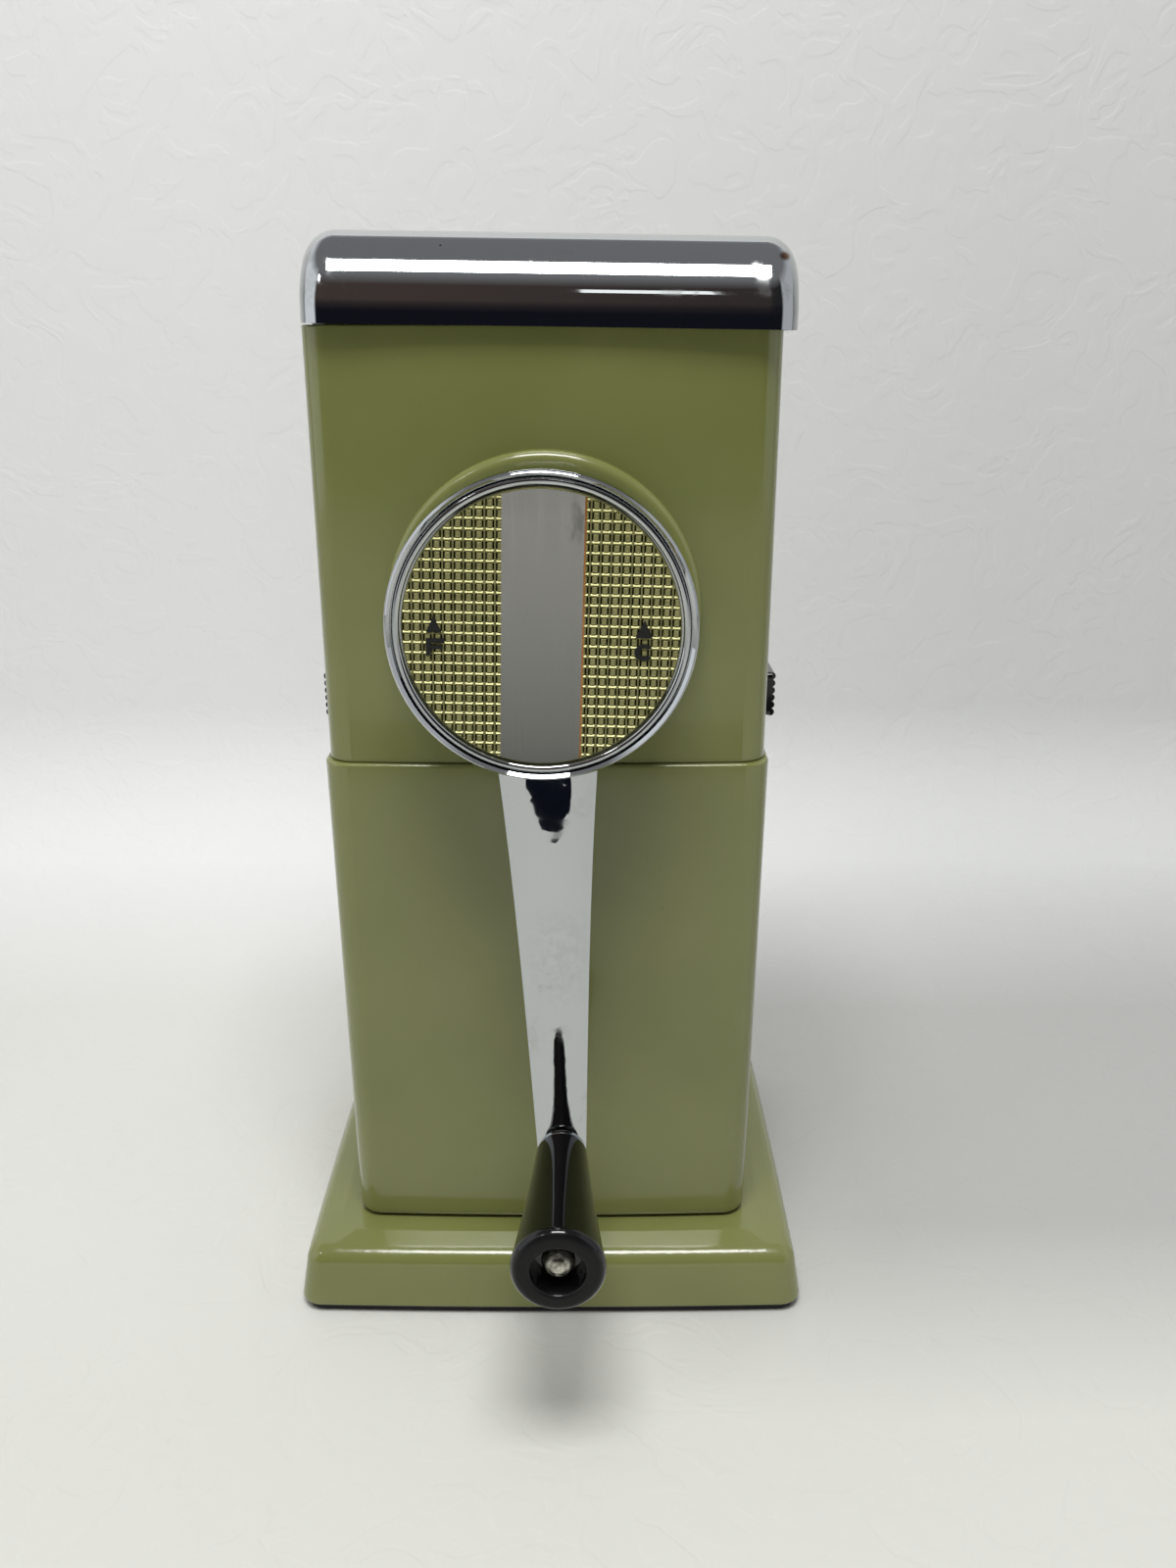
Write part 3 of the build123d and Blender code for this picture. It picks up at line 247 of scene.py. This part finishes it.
def span(material, value, low, high, to_low=0.0, to_high=1.0):
    """A value's range from low to high, stretched onto another range and held at its ends."""
    inputs = {"Value": value, "From Min": low, "From Max": high, "To Min": to_low,
              "To Max": to_high}
    return add(material, "ShaderNodeMapRange", inputs).outputs["Result"]


def mix(material, share, first, second):
    """Two colours, or outputs that hold colours, mixed by a share."""
    node = add(material, "ShaderNodeMix", data_type="RGBA")
    for socket, value in ((0, share), (6, first), (7, second)):
        if isinstance(value, bpy.types.NodeSocket):
            material.node_tree.links.new(value, node.inputs[socket])
        else:
            node.inputs[socket].default_value = (*value, 1) if isinstance(value, tuple) else value
    return node.outputs[2]


def calc(material, operation, first, second):
    return add(material, "ShaderNodeMath", {0: first, 1: second}, operation=operation).outputs[0]


def bump(material, height, strength, distance, below=None):
    inputs = {"Height": height, "Strength": strength, "Distance": distance}
    if below is not None:
        inputs["Normal"] = below
    return add(material, "ShaderNodeBump", inputs).outputs["Normal"]


def specks(material, scale, size):
    """1 in small round spots that are scattered at random, and 0 between them."""
    inputs = {"Vector": place_in(material), "Scale": scale, "Randomness": 1.0}
    cells = add(material, "ShaderNodeTexVoronoi", inputs).outputs
    chance = add(material, "ShaderNodeSeparateColor", {"Color": cells["Color"]}).outputs[0]
    radius = span(material, chance, 0.80, 1.0, 0.0, size)
    inside = calc(material, "SUBTRACT", radius, cells["Distance"])
    return span(material, inside, 0.0, size * 0.3)


def patch_at(material, centre, half):
    """1 inside an ellipse on the front, (X, Z) centre and half sizes in millimetres, 0 outside."""
    stretch = (1 / (half[0] * MM), 0, 1 / (half[1] * MM))
    offset = (-centre[0] / half[0], 0, -centre[1] / half[1])
    where = place_in(material, stretch, offset)
    reach = add(material, "ShaderNodeVectorMath", {0: where}, operation="LENGTH").outputs["Value"]
    return span(material, reach, 1 + PATCH_EDGE, 1 - PATCH_EDGE)


def grained(name, color, roughness, metallic, grain, tones=None, dull=None, rise=None, **sockets):
    """A finish that one fine noise varies.

    grain is the noise's scale, detail and roughness. tones are two colours and the part of the
    noise that goes from one to the other, or None for all of it. dull is the roughness from low
    to high, and rise is the bump's strength and height.
    """
    material = finish(name, srgb(*color), roughness, metallic, **sockets)
    texture = noise(material, *grain)
    if tones:
        first, second, part = tones
        share = span(material, texture, *part) if part else texture
        drive(material, "Base Color", mix(material, share, srgb(*first), srgb(*second)))
    if dull:
        drive(material, "Roughness", span(material, texture, 0.3, 0.7, *dull))
    if rise:
        drive(material, "Normal", bump(material, texture, *rise))
    return material


# ---- materials --------------------------------------------------------------------------------
def olive_enamel():
    """Olive moulded plastic with a high gloss: faint mottling, orange peel, dust and hairlines."""
    material = finish("olive_gloss", srgb(123, 128, 73), 0.16, Coat_Weight=0.35,
                      Coat_Roughness=0.05)
    cloud = span(material, noise(material, 22, 4), 0.35, 0.65)
    plain = mix(material, cloud, srgb(120, 125, 70), srgb(127, 131, 77))
    dust = calc(material, "MULTIPLY", specks(material, 260, 0.10), 0.35)
    drive(material, "Base Color", mix(material, dust, plain, srgb(92, 90, 62)))
    wipe = noise(material, 60, 5, 0.6, place_in(material, (1, 1, 0.35)))
    drive(material, "Roughness", span(material, wipe, 0.35, 0.7, 0.12, 0.24))
    peel = bump(material, noise(material, 700, 2), 0.05, 0.15 * MM)
    streaks = place_in(material, (18, 18, 0.6), turn=(0.2, 0.4, 0.1))
    hair = span(material, noise(material, 160, 2, 0.5, streaks), 0.68, 0.74)
    drive(material, "Normal", bump(material, hair, 0.04, 0.05 * MM, peel))
    return material


def chrome(name, smudges, rust=()):
    """Polished chrome plate with finger marks, small pits and a very slight waviness."""
    material = finish(name, CHROMIUM, 0.05, 1.0)
    smear = span(material, noise(material, 170, 5, 0.62), 0.54, 0.68)
    patch = span(material, noise(material, 50, 2), 0.52, 0.64)
    dull = calc(material, "MULTIPLY", smear, patch)
    blot = span(material, noise(material, 420, 4, 0.6), 0.42, 0.58)
    for centre, half, amount in smudges:
        there = calc(material, "MULTIPLY", patch_at(material, centre, half), blot)
        dull = calc(material, "MAXIMUM", dull, calc(material, "MULTIPLY", there, amount))
    drive(material, "Roughness", span(material, dull, 0, 1, 0.035, 0.24))
    wear = calc(material, "MULTIPLY", dull, 0.34)
    worn = mix(material, wear, CHROMIUM, srgb(132, 128, 118))
    shade = mix(material, specks(material, 150, 0.10), worn, srgb(72, 66, 58))
    for centre, half in rust:
        shade = mix(material, patch_at(material, centre, half), shade, srgb(96, 62, 34))
    drive(material, "Base Color", shade)
    drive(material, "Normal", bump(material, noise(material, 45, 1), 0.014, 0.4 * MM))
    return material


def black_phenolic():
    """Black moulded plastic, glossy on the sides, dull and scuffed on the grip's end."""
    material = finish("black_gloss", srgb(14, 14, 15), 0.12, Coat_Weight=0.5, Coat_Roughness=0.04,
                      Specular_IOR_Level=0.22)
    scuff = noise(material, 420, 5, 0.65)
    along = axes_of(material, place_in(material))["Y"]
    end_face = span(material, along, GRIP_FLANK_END, GRIP_END_FACE)
    worn = span(material, scuff, 0.66, 0.74, 0, 0.35)
    dull = calc(material, "MAXIMUM", end_face, worn)
    drive(material, "Roughness", span(material, dull, 0, 1, 0.12, 0.5))
    drive(material, "Base Color", mix(material, dull, srgb(12, 12, 13), srgb(18, 18, 19)))
    drive(material, "Coat Weight", span(material, end_face, 0, 1, 0.5, 0.0))
    drive(material, "Normal", bump(material, scuff, 0.05, 0.08 * MM))
    return material


def turned_rivet():
    """Dull steel with rings from the tool that headed it."""
    material = finish("turned_steel", srgb(150, 149, 142), 0.32, 1.0)
    centred = place_in(material, (1, 0, 1), (-RIVET_X, 0, -RIVET_Z))
    inputs = {"Vector": centred, "Scale": 320, "Distortion": 1.4, "Detail": 2}
    rings = add(material, "ShaderNodeTexWave", inputs, wave_type="RINGS",
                rings_direction="SPHERICAL").outputs["Fac"]
    stain = span(material, noise(material, 700, 4, 0.6), 0.4, 0.65)
    drive(material, "Base Color", mix(material, stain, srgb(198, 197, 186), srgb(126, 124, 112)))
    drive(material, "Roughness", span(material, rings, 0, 1, 0.22, 0.45))
    drive(material, "Normal", bump(material, rings, 0.35, 0.08 * MM))
    return material


def strip_metal():
    """Satin aluminium, brushed along its length, with painted light at the top and painted shade
    lower down, and a few dark scuffs.
    """
    material = finish("strip_satin", srgb(172, 171, 166), 0.42, 1.0, Coat_Weight=0.3,
                      Coat_Roughness=0.05)
    # painted light and shade: the colour goes from darker low down to paler at the top
    height = axes_of(material, place_in(material))["Z"]
    rise = span(material, height, 148 * MM, 200 * MM)
    painted_shading = mix(material, rise, srgb(128, 129, 125), srgb(205, 204, 199))
    brush = noise(material, 420, 4, 0.7, place_in(material, (6, 1, 0.12)))
    stain = noise(material, 160, 4, 0.6, place_in(material, (1, 1, 0.35), (3.1 * MM, 0, 2 * MM)))
    worn = span(material, stain, 0.62, 0.72, 0, 0.5)
    drive(material, "Base Color", mix(material, worn, painted_shading, srgb(104, 104, 100)))
    drive(material, "Roughness", span(material, brush, 0.3, 0.7, 0.36, 0.5))
    drive(material, "Normal", bump(material, brush, 0.06, 0.05 * MM))
    return material


def make_materials():
    """Each finish, by the name of its slot or its own name."""
    return {
        "olive": olive_enamel(),
        "rubber": grained("rubber_black", (16, 15, 14), 0.75, 0.0, (1500, 4, 0.7),
                          tones=((13, 12, 12), (24, 23, 21), (0.4, 0.7)), rise=(0.3, 0.1 * MM)),
        "chrome": chrome("chrome_plate", ARM_SMUDGES),
        "chrome_lid": chrome("chrome_lid", LID_SMUDGES, LID_RUST),
        "cast_alloy": grained("cast_alloy", (182, 183, 182), 0.45, 1.0, (480, 5, 0.65),
                              tones=((190, 191, 190), (150, 150, 147), (0.35, 0.7)),
                              dull=(0.36, 0.58), rise=(0.2, 0.12 * MM)),
        "steel": grained("plated_steel", (176, 176, 172), 0.3, 1.0, (900, 3, 0.6),
                         tones=((178, 178, 174), (160, 159, 154), (0.4, 0.75)),
                         dull=(0.22, 0.42), rise=(0.05, 0.04 * MM)),
        "rotor_iron": grained("tinned_iron", (150, 150, 148), 0.5, 1.0, (350, 6, 0.7),
                              tones=((160, 160, 158), (112, 108, 100), (0.35, 0.7)),
                              dull=(0.36, 0.62), rise=(0.3, 0.15 * MM)),
        "bronze": grained("bronze", (176, 136, 84), 0.3, 1.0, (800, 4, 0.6),
                          tones=((186, 146, 92), (140, 104, 62), None), dull=(0.24, 0.42)),
        "dial_gold": grained("dial_gold", (168, 166, 112), 0.46, 0.62, (300, 3),
                             tones=((148, 146, 96), (166, 163, 112), (0.35, 0.65)),
                             dull=(0.40, 0.52), Coat_Weight=0.25, Coat_Roughness=0.25),
        "strip_metal": strip_metal(),
        "black": black_phenolic(),
        "rivet": turned_rivet(),
        "amber": grained("amber_lacquer", (170, 106, 36), 0.2, 0.5, (500, 2),
                         tones=((150, 86, 26), (196, 138, 60), None), Coat_Weight=0.8),
        "print_black": grained("print_black", (12, 12, 12), 0.35, 0.0, (1500, 3),
                               dull=(0.28, 0.45)),
    }


# ---- the dial's pieces ------------------------------------------------------------------------
def dial_frame():
    """Local X right and Y up along the strip, Z out of the front, with the middle on the shaft."""
    to_front = Matrix.Translation((0, 0, CRANK_HEIGHT)) @ Matrix.Rotation(radians(90), 4, "X")
    return to_front @ Matrix.Rotation(radians(DIAL_TURN), 4, "Z")


def new_object(name, mesh, material):
    """An object in the scene that shows a mesh in one material."""
    made = bpy.data.objects.new(name, mesh)
    bpy.context.scene.collection.objects.link(made)
    mesh.materials.clear()
    mesh.materials.append(material)
    return made


def mesh_from(name, form):
    """A bmesh's shape as a mesh; the bmesh is used up."""
    mesh = bpy.data.meshes.new(name)
    form.to_mesh(mesh)
    form.free()
    return mesh


def add_dial_piece(name, form, frame, material):
    """A bmesh in the dial's own frame, turned into a piece that rides on the crank."""
    bmesh.ops.recalc_face_normals(form, faces=form.faces)
    form.transform(frame)
    piece = new_object(name, mesh_from(name, form), material)
    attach(piece, "crank")


def share_of_cell(value):
    """Where a place lies in its cell, from -0.5 to 0.5."""
    share = value / RELIEF_PITCH
    return share - round(share)


def waffle_height(across, up):
    """The embossing at a place in its cell: thin grid lines round a low pillow."""
    column_line = max(0.0, 1 - abs(abs(across) - 0.5) / COLUMN_LINE_HALF)
    row_line = max(0.0, 1 - abs(abs(up) - 0.5) / ROW_LINE_HALF)
    if abs(across) >= ROW_LINE_CROSSING:
        row_line *= ROW_LINE_LOW
    pillow_x = min(1.0, max(0.0, (PILLOW_HALF_ACROSS - abs(across)) / PILLOW_SLOPE_ACROSS))
    pillow_y = min(1.0, max(0.0, (PILLOW_HALF_UP - abs(up)) / PILLOW_SLOPE_UP))
    return max(COLUMN_LINE_RISE * column_line, row_line, PILLOW_RISE * pillow_x * pillow_y)


def waffle(side):
    """The embossed field between the strip and the dial's rim, on one side."""
    cells = int(RELIEF_RADIUS / RELIEF_PITCH) + 2
    indices = range(-cells, cells + 1)
    lines = [(index + step) * RELIEF_PITCH for index in indices for step in CELL_STEPS]
    inner = STRIP_HALF_WIDTH - RELIEF_UNDERLAP
    outermost = RELIEF_RADIUS + 1.6 * RELIEF_SNAP
    form = bmesh.new()
    grid = {}
    for row, y in enumerate(lines):
        for column, x in enumerate(lines):
            reach = hypot(x, y)
            if side * x < inner - RELIEF_SNAP or reach > outermost:
                continue
            height = RELIEF_HEIGHT * waffle_height(share_of_cell(x), share_of_cell(y))
            px, py = x, y
            if side * x < inner:
                px = side * inner
            if reach > RELIEF_RADIUS:
                px, py = x * RELIEF_RADIUS / reach, y * RELIEF_RADIUS / reach
            grid[row, column] = form.verts.new((px, py, DIAL_FACE + height))
    for row in range(len(lines) - 1):
        for column in range(len(lines) - 1):
            corners = [grid.get((row + i, column + j)) for i, j in ((0, 0), (0, 1), (1, 1), (1, 0))]
            if all(corners):
                form.faces.new(corners)
    bmesh.ops.remove_doubles(form, verts=form.verts, dist=RELIEF_WELD)
    loose = [v for v in form.verts if not v.link_faces]
    bmesh.ops.delete(form, geom=loose, context="VERTS")
    rim = [e for e in form.edges if e.is_boundary]
    skirt = bmesh.ops.extrude_edge_only(form, edges=rim)["geom"]
    level(skirt, DIAL_FACE - RELIEF_SUNK)
    bmesh.ops.holes_fill(form, edges=[e for e in form.edges if e.is_boundary], sides=0)
    return form


def level(geometry, height):
    """Moves the points among some bmesh geometry to one height."""
    for element in geometry:
        if isinstance(element, bmesh.types.BMVert):
            element.co.z = height


def flat_plate(outline, low, high):
    """A closed outline of points pulled up into a thin plate."""
    form = bmesh.new()
    face = form.faces.new([form.verts.new((x, y, low)) for x, y in outline])
    level(bmesh.ops.extrude_face_region(form, geom=[face])["geom"], high)
    return form


def triangle_mark(x, y, width):
    half = width / 2
    return [(x - half, y - half), (x + half, y - half), (x, y + half * 1.1)]


def letter_f(x, y):
    """A wide F, its outline from the lower left corner."""
    left, right = x - F_WIDTH / 2, x + F_WIDTH / 2
    low, high = y - LETTER_HEIGHT / 2, y + LETTER_HEIGHT / 2
    arm_top = y + F_ARM_TOP
    arm_low = arm_top - F_ARM_HEIGHT
    arm_end = right - F_ARM_SHORT
    inner = left + LETTER_STROKE
    bar_low = high - LETTER_BAR
    return [(left, low), (inner, low), (inner, arm_low), (arm_end, arm_low), (arm_end, arm_top),
            (inner, arm_top), (inner, bar_low), (right, bar_low), (right, high), (left, high)]


def letter_c(x, y):
    """A wide C: a ring with its right side open."""
    outer_x, outer_y = C_HALF_WIDTH, LETTER_HEIGHT / 2
    inner_x, inner_y = outer_x - LETTER_STROKE, outer_y - LETTER_BAR
    sweep = 2 * pi - 2 * C_OPENING
    angles = [C_OPENING + sweep * i / C_STEPS for i in range(C_STEPS + 1)]
    outer = [(x + outer_x * cos(a), y + outer_y * sin(a)) for a in angles]
    inner = [(x + inner_x * cos(a), y + inner_y * sin(a)) for a in reversed(angles)]
    return outer + inner


def amber_line():
    """The outline of the narrow line along the strip's right edge."""
    inner, outer = STRIP_HALF_WIDTH, STRIP_HALF_WIDTH + AMBER_WIDTH
    return [(inner, -AMBER_REACH), (outer, -AMBER_REACH), (outer, AMBER_REACH),
            (inner, AMBER_REACH)]


def add_dial(materials):
    frame = dial_frame()
    for side, name in ((-1, "dial_waffle_left"), (1, "dial_waffle_right")):
        add_dial_piece(name, waffle(side), frame, materials["dial_gold"])
    marks = {
        "mark_fine_arrow": triangle_mark(FINE_ARROW_X, ARROW_Y, FINE_ARROW_WIDTH),
        "mark_fine": letter_f(FINE_X, FINE_Y),
        "mark_coarse_arrow": triangle_mark(COARSE_ARROW_X, ARROW_Y, COARSE_ARROW_WIDTH),
        "mark_coarse": letter_c(COARSE_X, COARSE_Y),
    }
    for name, outline in marks.items():
        form = flat_plate(outline, MARK_LOW, MARK_FACE)
        add_dial_piece(name, form, frame, materials["print_black"])
    form = flat_plate(amber_line(), DIAL_FACE, DIAL_FACE + AMBER_RISE)
    add_dial_piece("strip_amber_edge", form, frame, materials["amber"])


# ---- springs behind the side buttons ----------------------------------------------------------
def add_coils(frame, steel):
    """The two coils: steel copies of the springs behind the buttons, carried by the head."""
    for side, sign in (("right", 1), ("left", -1)):
        node = frame["nodes"][f"{side}_latch_spring"]
        coil = new_object(f"{side}_coil", node.data.copy(), steel)
        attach(coil, "head")
        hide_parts(f"{side}_latch_spring")
        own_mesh(coil)


# ---- stage, lights and camera -----------------------------------------------------------------
def paper():
    """Embossed white paper with painted light and shade: paler behind the object and in front of
    it, greyer to its right.

    It is one-sided, so the sheet doesn't hide the object from behind.
    """
    material = finish("paper", srgb(200, 200, 196), 0.7)
    along = axes_of(material, place_in(material))
    painted_shade_to_right = span(material, along["X"], -0.08, 0.09)
    to_front = span(material, along["Y"], -0.02, -0.09)
    to_wall = span(material, along["Y"], 0.10, 0.24)
    painted_shade_across_wall = span(material, along["X"], -0.16, 0.20)
    # painted light and shade: the floor is greyer to the right and paler in front, and the wall is
    # paler to the left
    floor = mix(material, painted_shade_to_right, srgb(224, 224, 219), srgb(186, 186, 183))
    front = mix(material, to_front, floor, srgb(221, 221, 214))
    wall = mix(material, painted_shade_across_wall, srgb(241, 241, 240), srgb(224, 225, 223))
    drive(material, "Base Color", mix(material, to_wall, front, wall))
    inputs = {"Vector": place_in(material), "Scale": 42, "Detail": 1.5, "Distortion": 2.2}
    scrolls = add(material, "ShaderNodeTexNoise", inputs).outputs["Fac"]
    raised = span(material, scrolls, 0.46, 0.54)
    drive(material, "Normal", bump(material, raised, 0.22, 0.5 * MM))
    behind = add(material, "ShaderNodeNewGeometry").outputs["Backfacing"]
    clear = add(material, "ShaderNodeBsdfTransparent").outputs[0]
    sides = {0: behind, 1: shader_of(material).outputs[0], 2: clear}
    surface_from(material, add(material, "ShaderNodeMixShader", sides).outputs[0])
    return material


def add_backdrop():
    """One sheet: the floor, a round cove and the wall behind."""
    turns = [radians(90) * i / COVE_STEPS for i in range(COVE_STEPS + 1)]
    bend = [(WALL_Y - COVE_RADIUS + COVE_RADIUS * sin(a), COVE_RADIUS - COVE_RADIUS * cos(a))
            for a in turns]
    profile = [(FLOOR_FRONT, 0.0)] + bend + [(WALL_Y, WALL_HEIGHT)]
    form = bmesh.new()
    left, right = [[form.verts.new((x, y, z)) for y, z in profile]
                   for x in (-FLOOR_HALF_WIDTH, FLOOR_HALF_WIDTH)]
    for index in range(len(profile) - 1):
        form.faces.new((left[index], right[index], right[index + 1], left[index + 1]))
    sheet = new_object("backdrop", mesh_from("backdrop", form), paper())
    for polygon in sheet.data.polygons:
        polygon.use_smooth = True


def glow(name, strength, low_color, high_color):
    """A plain emitting surface, shaded from its lower edge to its upper one."""
    material = bpy.data.materials.new(name)
    material.use_nodes = True
    material.node_tree.nodes.remove(shader_of(material))
    where = add(material, "ShaderNodeTexCoord").outputs["Object"]
    rise = span(material, axes_of(material, where)["Z"], -0.5, 0.5)
    shade = mix(material, rise, low_color, high_color)
    inputs = {"Color": shade, "Strength": strength}
    surface_from(material, add(material, "ShaderNodeEmission", inputs).outputs[0])
    return material


def add_card(name, centre, width, height, *shine):
    """A card on the camera's side that only shines back from polished surfaces."""
    form = bmesh.new()
    corners = ((-0.5, -0.5), (0.5, -0.5), (0.5, 0.5), (-0.5, 0.5))
    form.faces.new([form.verts.new((x, 0, z)) for x, z in corners])
    card = new_object(name, mesh_from(name, form), glow(*shine))
    card.location = centre
    card.scale = (width, 1, height)
    card.visible_camera = False
    card.visible_diffuse = False
    card.visible_shadow = False


def add_light(name, place, target, width, height, strength, mirrored):
    """A soft box; its strength is how bright its face is, where 1 is white."""
    lamp = bpy.data.lights.new(name, "AREA")
    lamp.shape = "RECTANGLE"
    lamp.size = width
    lamp.size_y = height
    lamp.energy = strength * pi * width * height
    holder = bpy.data.objects.new(name, lamp)
    bpy.context.scene.collection.objects.link(holder)
    holder.location = place
    holder.rotation_euler = (Vector(target) - Vector(place)).to_track_quat("-Z", "Y").to_euler()
    holder.visible_camera = False
    holder.visible_glossy = mirrored


def add_world():
    """A grey room: pale at the left, dimmer at the right, and dark in front and overhead.

    The camera itself sees an even pale grey beyond the stage.
    """
    world = bpy.data.worlds.new("room")
    bpy.context.scene.world = world
    world.use_nodes = True
    direction = add(world, "ShaderNodeTexCoord").outputs["Generated"]
    along = axes_of(world, direction)
    sides = mix(world, span(world, along["X"], -0.3, 0.3), ROOM_LEFT, ROOM_RIGHT)
    forward = calc(world, "MULTIPLY", along["Y"], -1.0)
    bearing = calc(world, "ABSOLUTE", calc(world, "ARCTAN2", along["X"], forward), 0.0)
    high = mix(world, span(world, along["X"], -0.2, 0.4), AHEAD_LEFT, AHEAD_RIGHT)
    ahead = mix(world, span(world, along["Z"], 0.10, 0.30), AHEAD_LOW, high)
    around = mix(world, span(world, bearing, *AHEAD_BEARING), ahead, sides)
    room = mix(world, span(world, along["Z"], 0.62, 0.80), around, ROOM_OVERHEAD)
    seen = add(world, "ShaderNodeLightPath").outputs["Is Camera Ray"]
    background = world.node_tree.nodes["Background"]
    world.node_tree.links.new(mix(world, seen, room, BEYOND_STAGE), background.inputs["Color"])
    background.inputs["Strength"].default_value = 1.0


def add_camera():
    camera = bpy.data.cameras.new("camera")
    camera.sensor_width = SENSOR
    camera.lens = FOCAL_PIXELS / IMAGE_HEIGHT * SENSOR
    camera.clip_start = NEAR_CLIP
    holder = bpy.data.objects.new("camera", camera)
    bpy.context.scene.collection.objects.link(holder)
    holder.location = CAMERA_PLACE
    holder.rotation_euler = (radians(90 - CAMERA_PITCH), 0, 0)
    bpy.context.scene.camera = holder


# ---- the scene --------------------------------------------------------------------------------
OWN_MATERIAL = {"grip_rivet": "rivet", "lid_shell": "chrome_lid"}

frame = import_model()
bpy.context.scene.view_settings.view_transform = "Standard"

materials = make_materials()
for row in frame["record"]["subparts"]:
    node = frame["nodes"][row["node"]]
    wanted = materials[OWN_MATERIAL.get(row["node"], row["material_slot"])]
    node.data.materials.clear()
    node.data.materials.append(wanted)

add_dial(materials)
add_coils(frame, materials["steel"])
add_backdrop()
for card in CARDS:
    add_card(*card)
for light in LIGHTS:
    add_light(*light)
add_world()
add_camera()
